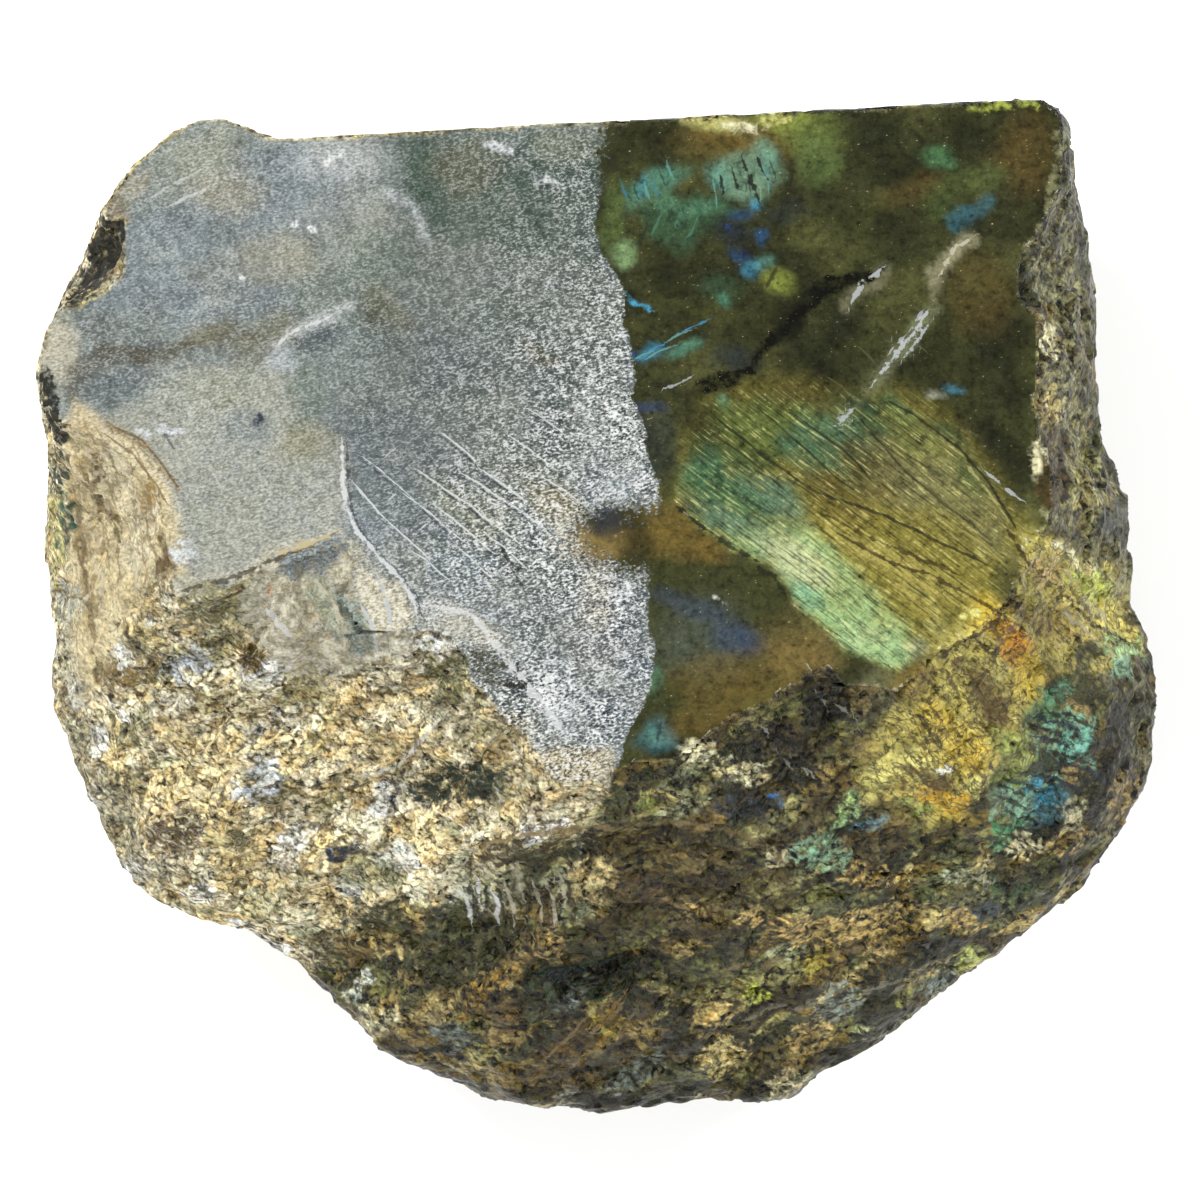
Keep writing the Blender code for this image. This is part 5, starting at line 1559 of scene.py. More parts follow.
@dataclass
class FrontBreak:
    """The broken front: cream at the left, dark facets and a black hollow in the middle, tan at the right."""

    low_left: Points = ((-32, -20), (-12, -22), (-11, -32), (-24, -36), (-36, -28))
    low_right: Points = ((8, -30), (30, -24), (46, -24), (46, -36), (28, -48), (10, -46))
    far_left: Points = ((-50, -4), (-34, -4), (-30, -14), (-32, -24), (-48, -24))
    low_left_light: Light = (1.12, 5)
    low_right_light: Light = (1.58, 5)
    far_left_light: Light = (1.13, 5)
    left: Shapes = (
        Spot(-40.7, -5.6, 4.6, 3.4, 20, Tint.ICE), Spot(-42.7, -9.2, 4.4, 3.6, 0, Tint.BONE),
        Spot(-36.6, -9, 6, 5, 20, Tint.CREAM, 0.6, 1), Spot(-35.6, -4.4, 2.6, 5.6, 30, Tint.BRONZE),
        Spot(-19, -5, 7, 3.6, -10, Tint.PALE), Spot(-22, -6.8, 5, 3.6, 0, Tint.BONE, 0.7),
        Spot(-4.7, -8.9, 2.6, 6.4, 30, Tint.WHITE), Spot(-4, -10.6, 2.6, 2.4, 0, Tint.FROST, 0.7),
        Patch(((-17.5, -4.5), (-14.5, -4.2), (-14, -8), (-15, -10.5), (-17.2, -10)),
            Tint.OLIVE, 0.55, 1.2),
        Spot(-11.2, -5.6, 5.4, 3.8, -20, Tint.DARK_OLIVE, 0.7),
        Spot(-8.1, -7, 3, 4.6, 20, Tint.COAL, 0.6), Spot(-13.8, -10, 5, 4, 0, Tint.BONE, 0.55, 1),
        Spot(-9, -12, 5, 4, 0, Tint.BEIGE, 0.55, 1), Spot(-14, -17.4, 10.4, 4.4, 8, Tint.PINE),
        Streak(((-25.6, -17), (-20.2, -16.2), (-15.7, -11.4)), 1.4, Tint.CREAM),
        Spot(-34, -16.8, 3.4, 4.6, 0, Tint.ICE), Spot(-26.1, -24.4, 3, 2.2, 0, Tint.INK),
        Spot(-42.5, -22.4, 6.4, 4.4, 10, Tint.BROWN, 0.7),
        Spot(-22.7, -26, 5.6, 4, 0, Tint.LICHEN, 0.65, 1), Spot(-31, -27, 8, 5, -20, Tint.CREAM, 0.55, 1),
        Patch(((-8.5, -15), (-4, -13.5), (1.2, -14), (1.2, -18), (-0.5, -21), (-6, -21.5), (-9, -19)),
            Tint.CREAM, 0.75, 1.6),
    )
    middle: Shapes = (
        Spot(-10, -24.2, 6, 2.4, 20, Tint.PEAT), Spot(-12, -27.6, 9, 5, 0, Tint.ASH, 0.6, 1),
        Spot(-10.4, -26.2, 5.4, 1.4, 5, Tint.BONE, 0.7), Spot(-22.6, -31, 5.4, 3.2, 10, Tint.DARK_OLIVE),
        Patch(((-16.5, -29.8), (-13.5, -29.5), (-10.4, -30.1), (-9.4, -31.2), (-10.2, -35.3),
            (-12.7, -37.6), (-16.3, -37.8), (-18.6, -37.3), (-19.4, -35.3), (-18.3, -32.5)),
            Tint.DARK_OLIVE, 0.9, 0.9),
        Spot(-1.2, -26.9, 4.6, 4.8, 10, Tint.SAND), Spot(-5.1, -33.4, 3.4, 3.6, 30, Tint.TAN),
        Patch(DARK_HOLLOW, Tint.PINE, 0.95, 0.6), Spot(-2.6, -42, 3.6, 5, 30, Tint.COAL),
        Spot(-3.4, -36.4, 5, 1.6, 15, Tint.NAVY, 0.7), Spot(-2.8, -39.4, 3.6, 2, 0, Tint.SLATE),
        Streak(((-9.2, -36), (-11.4, -38.2), (-13.9, -40.6)), 1.6, Tint.OCHRE, 0.7),
        Streak(((-4, -32), (-9.1, -35.8), (-14, -38.6), (-20.1, -41.9)), 2, Tint.TAN, 0.5, 1.2),
        Spot(-24.2, -33.8, 4.6, 3.2, 0, Tint.BRONZE), Streak(((-23, -36.4), (-24.8, -39)), 1, Tint.FROST),
        Spot(-21.9, -40.2, 4.4, 2.8, -30, Tint.BONE), Spot(-14.8, -42.3, 4.4, 2.6, -20, Tint.SLATE),
        Spot(-9.8, -40.6, 4, 3.6, -30, Tint.BROWN), Spot(-4.6, -45, 5.4, 3.2, -10, Tint.BROWN),
        Spot(-1.5, -42.9, 4.4, 3, 0, Tint.PEAT), Spot(1.2, -41.2, 3.4, 3, 0, Tint.GOLD),
        # painted highlight: the slate streak is a bluish-grey highlight band on a facet
        Streak(((2, -47.2), (5.8, -44.8)), 2, Tint.SLATE), Spot(-3.4, -48.8, 3.6, 1.5, 0, Tint.ASH),
        Streak(((-2, -49.5), (3, -49.7), (8.9, -49.3)), 1.8, Tint.COAL, 0.9),
        Spot(7.9, -42, 4, 6, 0, Tint.COAL), Spot(7.4, -36.8, 6.6, 3.4, 0, Tint.DARK_OLIVE),
    )
    right: Shapes = (
        Spot(11.3, -40.4, 4.6, 3.2, 20, Tint.TAN), Spot(12.4, -44.5, 4.8, 3.4, 0, Tint.BEIGE),
        Spot(21.4, -42.4, 5.4, 3.2, 20, Tint.TAN), Spot(18.4, -47.8, 4.4, 2.2, 15, Tint.BONE),
        Spot(24.1, -39.2, 5.4, 3.4, 20, Tint.SLATE),
        Streak(((29.6, -40.6), (26.2, -43.2), (22.6, -45.4)), 1.8, Tint.COAL),
        Streak(((27, -37), (33.6, -34.2), (38, -33.4)), 2.8, Tint.COAL),
        Streak(((23, -32.8), (29.4, -32)), 1.4, Tint.COAL), Spot(33.8, -37.2, 4.6, 2.4, 30, Tint.SLATE),
        Streak(((15.5, -30.9), (22, -32.3), (29.8, -30.2)), 2.6, Tint.TAN),
        Spot(36.4, -31.2, 4.6, 2.6, 15, Tint.TAN), Spot(38.5, -30.2, 3.2, 1.6, 0, Tint.NAVY),
        Spot(33, -32.6, 3, 1.6, 0, Tint.NAVY, 0.6), Spot(37.3, -35.2, 3.4, 2.2, 30, Tint.LICHEN),
        Patch(((31.5, -26.6), (38, -26.3), (44.5, -27), (43, -29.6), (36, -30.4), (31, -29.4)),
            Tint.FOREST, 0.5, 1.6),
        Spot(14.6, -36.9, 1.9, 1.5, 0, Tint.LEMON), Spot(15.6, -38.2, 2.4, 1.6, 0, Tint.LIME, 0.7),
        Spot(21.5, -35.4, 3.4, 2.2, 20, Tint.GOLD), Spot(1.6, -35.8, 3.6, 1.2, 0, Tint.BLACK, 0.7),
    )
    combs: Combs = (
        Comb((-13.8, -27.2), (-10.2, -27.6), (0.7, -4), 6, 0.38, (Tint.WHITE, Tint.COAL), 0.9, 1, 0.15),
        Comb((-9.6, -26.2), (-3.4, -26.8), (1, -4.8), 10, 0.32, (Tint.BONE, Tint.UMBER), 0.8, 1.2, 0.2),
        Comb((-13, -23.8), (-2, -22.4), (3.4, 0.9), 5, 0.35, (Tint.COAL, Tint.TAN), 0.7, 2.5),
        Comb((-16, -30.6), (-11, -31), (-0.8, -5.4), 6, 0.3, (Tint.OLIVE, Tint.COAL), 0.5, 2.5),
        Comb((0.4, -38.8), (4.4, -40.2), (-5, -5), 8, 0.35, (Tint.TAN, Tint.BROWN, Tint.HONEY), 0.6, 2.5),
        Comb((4, -23.6), (17, -25.6), (4, -1.8), 7, 0.35, (Tint.UMBER, Tint.CAMEL), 0.6, 3),
        Comb((3, -28.6), (17, -30.4), (4.6, -1.4), 6, 0.3, (Tint.UMBER, Tint.TAN), 0.6, 3),
        Comb((9, -36.6), (24, -34.6), (4, 0.9), 7, 0.4, (Tint.BLACK, Tint.TAN), 0.6, 3),
        Comb((12, -41.4), (30, -38), (4.4, 1.6), 8, 0.4, (Tint.BLACK, Tint.CLAY), 0.6, 3),
    )
    seams: Seams = (
        Seam(((-32, -17.7), (-26, -17.9), (-21.3, -17.1)), 0.4, Tint.UMBER),
        Seam(((-25.2, -16.6), (-20.2, -15.8), (-15.9, -10.8)), 0.3, Tint.WHITE, 0.6),
        Seam(((-12.6, -24.6), (-10.1, -25.5), (-7, -24.4), (-3.3, -22.6)), 0.5, Tint.UMBER, 0.9),
        Seam(((-12.7, -24), (-7.9, -22.4), (-1.5, -21.6), (3.6, -22.3)), 0.4, Tint.TAN),
        Seam(((-11.5, -23.2), (-7, -21.5), (-1, -20.8)), 0.3, Tint.UMBER, 0.7),
        Seam(((-10.6, -31), (-11.4, -35), (-13.4, -37)), 0.3, Tint.OLIVE, 0.7),
        Seam(((-26.8, -18), (-27.4, -22), (-29.8, -26)), 0.3, Tint.BRONZE, 0.6),
        Seam(((10.5, -33.6), (18, -33.4), (25, -33.2)), 0.35, Tint.UMBER, 0.7),
        Seam(((9.5, -38.6), (15, -39.6), (20, -40.4)), 0.35, Tint.UMBER, 0.7),
    )

    def paint(self, canvas: Canvas) -> None:
        """Paints the left on the dry layer, and the middle and right on both."""
        canvas.paint((Layer.DRY,), self.left)
        canvas.paint((Layer.DRY, Layer.WET), self.middle)
        canvas.paint((Layer.WET,), self.right)
        canvas.lift(Layer.WET, self.low_right, *self.low_right_light)
        canvas.lift(Layer.DRY, self.far_left, *self.far_left_light)
        for layer in Layer:
            canvas.lift(layer, self.low_left, *self.low_left_light)
        canvas.draw(self.seams)
        canvas.comb(self.combs)




# ---- the finish

Range = tuple[float, float]
Socket = bpy.types.NodeSocket
RISING = (0.0, 1.0)
FALLING = (1.0, 0.0)


class Graph:
    """Builds a material's nodes from short calls."""

    def __init__(self, name: str) -> None:
        """Starts a material with a Principled shader."""
        self.material = bpy.data.materials.new(name)
        self.material.use_nodes = True
        self.tree = self.material.node_tree
        self.shader = self.tree.nodes["Principled BSDF"]

    def node(self, kind: str, inputs: dict | None = None, **settings: object) -> bpy.types.Node:
        """Adds a node.

        Args:
            kind: The node's Blender type.
            inputs: A value or a socket for each named or numbered input.
            settings: The node's own settings.

        Returns:
            The node.
        """
        made = self.tree.nodes.new(kind)
        for name, value in settings.items():
            setattr(made, name, value)
        for name, value in (inputs or {}).items():
            self.feed(made.inputs[name], value)
        return made

    def feed(self, socket: bpy.types.NodeSocket, value: object) -> None:
        """Links a socket into an input, or sets the input's own value."""
        if isinstance(value, bpy.types.NodeSocket):
            self.tree.links.new(value, socket)
        elif value is not None:
            socket.default_value = value

    def math(self, operation: str, first: object, second: object = None) -> Socket:
        """Works with one or two values."""
        return self.node("ShaderNodeMath", {0: first, 1: second}, operation=operation).outputs[0]

    def product(self, *factors: object) -> object:
        """The product of values."""
        total = factors[0]
        for factor in factors[1:]:
            total = self.math("MULTIPLY", total, factor)
        return total

    def total(self, *terms: object) -> object:
        """The sum of values."""
        total = terms[0]
        for term in terms[1:]:
            total = self.math("ADD", total, term)
        return total

    def rest(self, share: object) -> Socket:
        """What a share leaves of one."""
        return self.math("SUBTRACT", 1.0, share)

    def swing(self, noise: object) -> Socket:
        """How far noise from 0 to 1 is above its middle."""
        return self.math("SUBTRACT", noise, 0.5)

    def ramp(self, value: object, span: Range, ends: Range = RISING) -> Socket:
        """Eases from the first to the second of the ends as the value goes through the span."""
        inputs = {
            "Value": value, "From Min": span[0], "From Max": span[1], "To Min": ends[0], "To Max": ends[1],
        }
        return self.node("ShaderNodeMapRange", inputs, interpolation_type="SMOOTHSTEP").outputs[0]

    def between(self, share: object, first: object, second: object) -> Socket:
        """Mixes two values."""
        return self.node("ShaderNodeMix", {0: share, 2: first, 3: second}).outputs[0]

    def mix(self, share: object, first: object, second: object) -> Socket:
        """Mixes two colours."""
        return self.node("ShaderNodeMix", {0: share, 6: first, 7: second}, data_type="RGBA").outputs[2]

    def pick(self, value: object, colours: tuple[tuple[float, float, float], ...]) -> Socket:
        """Picks one of a few colours, each for an equal share of the values from 0 to 1.

        Args:
            value: The value.
            colours: The colours.

        Returns:
            The colour picked.
        """
        made = self.node("ShaderNodeValToRGB", {0: value})
        stops = made.color_ramp.elements
        made.color_ramp.interpolation = "CONSTANT"
        while len(stops) < len(colours):
            stops.new(1.0)
        for number, colour in enumerate(colours):
            stops[number].position = number / len(colours)
            stops[number].color = (*colour, 1.0)
        return made.outputs[0]

    def scaled(self, vector: object, scale: object) -> Socket:
        """A vector or a colour times a number."""
        return self.node("ShaderNodeVectorMath", {0: vector, "Scale": scale}, operation="SCALE").outputs[0]

    def times(self, first: object, second: object) -> Socket:
        """One colour times another."""
        return self.node("ShaderNodeVectorMath", {0: first, 1: second}, operation="MULTIPLY").outputs[0]

    def attribute(self, name: str) -> bpy.types.Node:
        """Reads what is painted on the mesh's points."""
        return self.node("ShaderNodeAttribute", attribute_name=name)

    def axes(self, vector: object) -> bpy.types.bpy_prop_collection:
        """The three parts of a vector."""
        return self.node("ShaderNodeSeparateXYZ", {0: vector}).outputs


def rgba(tint: Tint) -> tuple[float, float, float, float]:
    """A colour for a socket."""
    return (*tint.light(), 1.0)


@dataclass(frozen=True)
class Drift:
    """Axes for a texture, turned about the vertical and drawn out, and the detail of noise in them."""

    turn: float  # degrees from +X
    length: float
    width: float
    detail: float = 1.0
    rough: float = 0.5

    def map(self, graph: Graph, place: object) -> Socket:
        """The place in these axes."""
        turn = (0.0, 0.0, math.radians(self.turn))
        inputs = {"Vector": place, "Rotation": turn, "Scale": (self.length, self.width, self.width)}
        return graph.node("ShaderNodeMapping", inputs, vector_type="TEXTURE").outputs[0]

    def noise(self, graph: Graph, place: object) -> Socket:
        """Noise with lumps as long and as wide as these axes say."""
        inputs = {
            "Vector": self.map(graph, place), "Scale": 1.0, "Detail": self.detail, "Roughness": self.rough,
        }
        return graph.node("ShaderNodeTexNoise", inputs).outputs[0]

    def cells(self, graph: Graph, place: object) -> bpy.types.Node:
        """Crystals as long and as wide as these axes say."""
        return graph.node("ShaderNodeTexVoronoi", {"Vector": self.map(graph, place), "Scale": 1.0})


@dataclass(frozen=True)
class Mark:
    """Fine marks of one colour, which come up as a texture goes through a span."""

    tint: Tint
    span: Range
    share: float

    def over(self, graph: Graph, colour: object, texture: object, *masks: object) -> Socket:
        """Lays the marks over a colour, where all the masks let them."""
        there = graph.product(graph.ramp(texture, self.span), *masks, self.share)
        return graph.mix(there, colour, rgba(self.tint))


@dataclass(frozen=True)
class StoneFinish:
    """Feldspar: the painted colours, broken up by strokes, grains and fibres finer than the mesh.

    A span is where a texture brings something up: from its first number, where there is none of it, to its
    second, where there is all of it. The gaps of some marks are the span of the crumbs in which they come up.
    """

    name: str = "labradorite"
    roughness_dust: float = 0.86
    roughness_wet: float = 0.16
    roughness_wet_break: float = 0.34
    roughness_break: float = 0.72
    roughness_spread: float = 0.2  # from crystal to crystal
    gloss: float = 0.22
    wet_cast: tuple[float, ...] = (0.98, 1.0, 0.84, 1.0)  # what the wet stone's colours are multiplied by
    bend: float = 1.6  # how far the strokes' axes stray
    bends: float = 0.3  # how often they do, per millimetre
    specks: Drift = Drift(14.0, 0.38, 0.22, 2.0, 0.6)
    net: Drift = Drift(-36.0, 1.5, 0.7, 2.0)
    fibres: Drift = Drift(-37.0, 2.8, 0.24)
    curls: Drift = Drift(-35.0, 1.9, 0.8, 1.5)
    crystals: Drift = Drift(30.0, 1.7, 0.85)
    chips: Drift = Drift(-20.0, 0.8, 0.5)
    crumbs: Drift = Drift(0.0, 1.0, 1.0, 4.0, 0.62)
    grit: Drift = Drift(0.0, 0.36, 0.36, 2.0)
    grain_tones: tuple[tuple[float, float, float], ...] = (
        (0.64, 0.63, 0.60), (0.30, 0.28, 0.23), (0.52, 0.51, 0.47), (0.44, 0.47, 0.46), (0.58, 0.52, 0.40),
        (0.50, 0.50, 0.50), (0.39, 0.34, 0.25), (0.60, 0.61, 0.64), (0.47, 0.48, 0.42), (0.55, 0.55, 0.50),
    )  # halves of what each grain's colour is multiplied by
    grain_share: float = 0.85
    tide_by_crumbs: float = 2.6  # how far crumbs and grit shift the tide line
    tide_by_grit: float = 1.6
    tide_level: float = -0.8
    tide_span: Range = (-0.35, 0.35)
    figure_by_crumbs: float = 2.8  # how far crumbs shift the edges of the figures
    figure_span: Range = (0.16, 0.92)
    line_width: Range = (0.008, 0.04)
    lit: Range = (0.012, 0.06)  # the brightness at which pale marks come up
    specks_by_crumbs: float = 0.45
    frost_span: Range = (0.51, 0.63)
    frost_share: float = 0.95
    net_level: float = 0.5
    net_gaps: Range = (0.42, 0.6)
    ink: Mark = Mark(Tint.INK, (0.5, 0.38), 0.9)
    # pale specks of the wet face: partly dust, partly painted glints
    wet_dust_and_glints: Mark = Mark(Tint.SAND, (0.68, 0.74), 0.8)
    wet_dust_and_glints_gaps: Range = (0.45, 0.6)
    curl_gaps: Range = (0.38, 0.6)
    pale_curl: float = 0.56  # the level of the noise along which the line runs
    pale_curl_share: Range = (0.4, 0.12)  # dry, wet
    dark_curl: float = 0.46
    dark_curl_share: Range = (0.35, 0.75)  # on the break, on wrinkled crystals
    clefts: Mark = Mark(Tint.PEAT, (0.48, 0.78), 0.8)
    cleft_gaps: Range = (0.62, 0.46)
    # painted highlights: pale yellow glints along the crystal's fibres
    glints: Mark = Mark(Tint.LEMON, (0.55, 0.68), 0.42)
    glint_gaps: Range = (0.42, 0.56)
    dim_fibres: Mark = Mark(Tint.DARK_OLIVE, (0.46, 0.3), 0.6)
    tone_of_grit: Range = (1.5, 0.9)  # more on the break, and everywhere
    tone_of_specks: Range = (1.1, 0.7)  # dry, wet
    tone_of_crumbs: float = 0.9
    tone_of_crumbs_break: Range = (1.5, 2.8)  # dry, wet
    tone_of_crumbs_face: float = 1.7
    tone_of_chips: Range = (1.0, 1.6)  # dry, wet
    tone_of_fibres: float = 0.8
    relief_of_specks: float = 0.05
    relief_of_crumbs: float = 0.7
    relief_of_crystals: float = -0.35
    relief_of_fibres: float = 0.06
    relief_of_curls: float = 0.5
    seam_by_crumbs: float = 3.0  # how far crumbs shift the edges of the seams
    seam_span: Range = (0.5, 1.5)

    def make(self) -> bpy.types.Material:
        """Makes the material."""
        return StoneNodes(self).build()


class StoneNodes:
    """The nodes of the stone's material: one kind of detail over another."""

    def __init__(self, finish: StoneFinish) -> None:
        """Reads what is painted on the mesh's points, and makes the textures.

        Args:
            finish: How the stone's surface looks.
        """
        self.finish = finish
        self.graph = graph = Graph(finish.name)
        skin = graph.attribute("skin")
        self.tide, self.sawn, self.felt = graph.axes(skin.outputs["Vector"])
        self.flash = skin.outputs["Alpha"]
        self.grit, self.wrinkle, _ = graph.axes(graph.attribute("touch").outputs["Vector"])
        place = graph.scaled(graph.node("ShaderNodeTexCoord").outputs["Object"], 1.0 / MM)
        sway = graph.node("ShaderNodeTexNoise", {"Vector": place, "Scale": finish.bends, "Detail": 0.0})
        bend = {0: sway.outputs["Color"], 1: (finish.bend,) * 3, 2: place}
        bent = graph.node("ShaderNodeVectorMath", bend, operation="MULTIPLY_ADD").outputs[0]
        self.speck = finish.specks.noise(graph, place)
        self.net = finish.net.noise(graph, bent)
        self.fibre = finish.fibres.noise(graph, place)
        self.curl = finish.curls.noise(graph, bent)
        self.crumb = finish.crumbs.noise(graph, place)
        self.grain = finish.grit.noise(graph, place)
        self.crystal = finish.crystals.cells(graph, bent)
        self.chip = finish.chips.cells(graph, bent)
        self.ragged = graph.swing(self.crumb)
        crumbs = graph.product(self.ragged, finish.tide_by_crumbs)
        grit = graph.product(self.grain, finish.tide_by_grit)
        self.wet = graph.ramp(graph.total(self.tide, crumbs, grit, finish.tide_level), finish.tide_span)
        self.felt_dry = graph.product(self.felt, graph.rest(self.wet))
        self.number = graph.axes(self.crystal.outputs["Color"])[0]
        self.colour = self.ground()
        self.lit = graph.ramp(graph.node("ShaderNodeRGBToBW", {0: self.colour}).outputs[0], finish.lit)

    def build(self) -> bpy.types.Material:
        """Lays the details over the ground and feeds the shader.

        Returns:
            The material.
        """
        self.dust()
        self.curls()
        self.fibres()
        self.colour = self.graph.scaled(self.colour, self.tone())
        self.seams()
        shader = self.graph.shader.inputs
        self.graph.feed(shader["Base Color"], self.colour)
        self.graph.feed(shader["Roughness"], self.roughness())
        self.graph.feed(shader["Specular IOR Level"], self.finish.gloss)
        self.graph.feed(shader["Normal"], self.relief())
        return self.graph.material

    def line(self, noise: object, level: float) -> Socket:
        """Thin curling lines where noise crosses a level."""
        off = self.graph.math("ABSOLUTE", self.graph.math("SUBTRACT", noise, level))
        return self.graph.ramp(off, self.finish.line_width, FALLING)

    def gaps(self, span: Range) -> Socket:
        """Patches of the crumbs."""
        return self.graph.ramp(self.crumb, span)

    def ground(self) -> Socket:
        """The painted colours of both layers, each crystal of the break in its own tone.

        Returns:
            The colour.
        """
        graph, finish = self.graph, self.finish
        layers = []
        for layer in Layer:
            ground = graph.attribute(layer.value).outputs["Color"]
            figure = graph.attribute(f"{layer.value}_figure")
            shift = graph.product(self.ragged, finish.figure_by_crumbs)
            there = graph.ramp(graph.total(figure.outputs["Alpha"], shift), finish.figure_span)
            layers.append(graph.mix(there, ground, figure.outputs["Color"]))
        share = graph.product(self.grit, finish.grain_share)
        tones = graph.mix(share, (0.5, 0.5, 0.5, 1.0), graph.pick(self.number, finish.grain_tones))
        colour = graph.scaled(graph.times(graph.mix(self.wet, *layers), tones), 2.0)
        return graph.times(colour, graph.mix(self.wet, (1.0, 1.0, 1.0, 1.0), finish.wet_cast))

    def dust(self) -> None:
        """The dust: white and dark specks where the face is dry, and a few pale specks where it is wet,
        partly dust and partly painted glints.
        """
        graph, finish = self.graph, self.finish
        flocked = graph.total(self.speck, graph.product(self.ragged, finish.specks_by_crumbs))
        net = graph.product(self.line(self.net, finish.net_level), self.gaps(finish.net_gaps))
        frost = graph.math("MAXIMUM", graph.ramp(flocked, finish.frost_span), net)
        self.colour = finish.ink.over(graph, self.colour, flocked, self.felt_dry)
        there = graph.product(frost, self.felt_dry, self.lit, finish.frost_share)
        self.colour = graph.mix(there, self.colour, rgba(Tint.WHITE))
        masks = self.wet, self.sawn, self.gaps(finish.wet_dust_and_glints_gaps)
        self.colour = finish.wet_dust_and_glints.over(graph, self.colour, self.speck, *masks)

    def curls(self) -> None:
        """The break's curling veins and the clefts between its chips, and the wrinkles of the crystals."""
        graph, finish = self.graph, self.finish
        share = graph.between(self.wet, *finish.pale_curl_share)
        pale = self.line(self.curl, finish.pale_curl)
        there = graph.product(pale, self.gaps(finish.curl_gaps), self.grit, self.lit, share)
        self.colour = graph.mix(there, self.colour, graph.mix(self.wet, rgba(Tint.WHITE), rgba(Tint.SAND)))
        on_break, on_wrinkles = finish.dark_curl_share
        wrinkles = graph.product(self.wrinkle, on_wrinkles)
        share = graph.math("MAXIMUM", graph.product(self.grit, on_break), wrinkles)
        dark = self.line(self.curl, finish.dark_curl)
        self.colour = graph.mix(graph.product(dark, share), self.colour, rgba(Tint.UMBER))
        masks = self.gaps(finish.cleft_gaps), self.grit
        self.colour = finish.clefts.over(graph, self.colour, self.chip.outputs["Distance"], *masks)

    def fibres(self) -> None:
        """Painted glints along the fibres of the flashing crystal, and its dark fibres."""
        graph, finish = self.graph, self.finish
        masks = self.gaps(finish.glint_gaps), self.flash
        self.colour = finish.glints.over(graph, self.colour, self.fibre, *masks)
        self.colour = finish.dim_fibres.over(graph, self.colour, self.fibre, self.flash)

    def tone(self) -> Socket:
        """How much brighter or darker the textures make the colours.

        Returns:
            A number to multiply the colour by.
        """
        graph, finish = self.graph, self.finish
        on_break, everywhere = finish.tone_of_grit
        grit = graph.total(graph.product(self.grit, on_break), everywhere)
        crumbs = graph.total(
            graph.product(self.grit, graph.between(self.wet, *finish.tone_of_crumbs_break)),
            graph.product(self.wet, self.sawn, finish.tone_of_crumbs_face),
            finish.tone_of_crumbs,
        )
        chip = graph.swing(graph.axes(self.chip.outputs["Color"])[0])
        specks = graph.between(self.wet, *finish.tone_of_specks)
        return graph.total(
            1.0,
            graph.product(graph.swing(self.grain), grit),
            graph.product(graph.swing(self.speck), self.sawn, specks),
            graph.product(self.ragged, crumbs),
            graph.product(chip, self.grit, graph.between(self.wet, *finish.tone_of_chips)),
            graph.product(graph.swing(self.fibre), self.flash, finish.tone_of_fibres),
        )

    def seams(self) -> None:
        """Draws the seams over the colour."""
        graph, finish = self.graph, self.finish
        for number in range(SEAM_FAMILIES):
            side, crumble, _ = graph.axes(graph.attribute(f"seam_{number}").outputs["Vector"])
            shift = graph.product(self.ragged, crumble, finish.seam_by_crumbs)
            away = graph.total(graph.math("ABSOLUTE", side), shift)
            tint = graph.attribute(f"seam_{number}_tint")
            there = graph.product(graph.ramp(away, finish.seam_span, FALLING), tint.outputs["Alpha"])
            self.colour = graph.mix(there, self.colour, tint.outputs["Color"])

    def roughness(self) -> Socket:
        """The roughness of the surface.

        Returns:
            The roughness.
        """
        graph, finish = self.graph, self.finish
        dry = graph.between(self.sawn, finish.roughness_break, finish.roughness_dust)
        wet = graph.between(self.sawn, finish.roughness_wet_break, finish.roughness_wet)
        spread = graph.product(graph.swing(self.number), finish.roughness_spread)
        return graph.total(graph.between(self.wet, dry, wet), spread)

    def relief(self) -> Socket:
        """The relief that is finer than the mesh.

        Returns:
            The surface's direction.
        """
        graph, finish = self.graph, self.finish
        height = graph.total(
            graph.product(self.speck, self.felt_dry, finish.relief_of_specks),
            graph.product(self.crumb, self.grit, finish.relief_of_crumbs),
            graph.product(self.crystal.outputs["Distance"], self.grit, finish.relief_of_crystals),
            graph.product(self.fibre, self.flash, finish.relief_of_fibres),
            graph.product(self.curl, self.wrinkle, finish.relief_of_curls),
        )
        return graph.node("ShaderNodeBump", {"Height": height, "Distance": MM, "Strength": 1.0}).outputs[0]


# ---- the stone


WEIGHT_STEPS = 10  # of a vertex group
CELL_KEYS = 1e6  # a cell's random number times this is its key


def only(obj: bpy.types.Object) -> None:
    """Makes one object the selected and active one."""
    bpy.ops.object.select_all(action="DESELECT")
    obj.select_set(True)
    bpy.context.view_layer.objects.active = obj


def points_of(mesh: bpy.types.Mesh) -> Array:
    """The mesh's points in millimetres, one a row."""
    found = np.empty(len(mesh.vertices) * 3)
    mesh.vertices.foreach_get("co", found)
    return found.reshape(-1, 3) / MM


def normals_of(mesh: bpy.types.Mesh) -> Array:
    """The mesh's outward direction at each point, one a row."""
    found = np.empty(len(mesh.vertices) * 3)
    mesh.vertices.foreach_get("normal", found)
    return found.reshape(-1, 3)


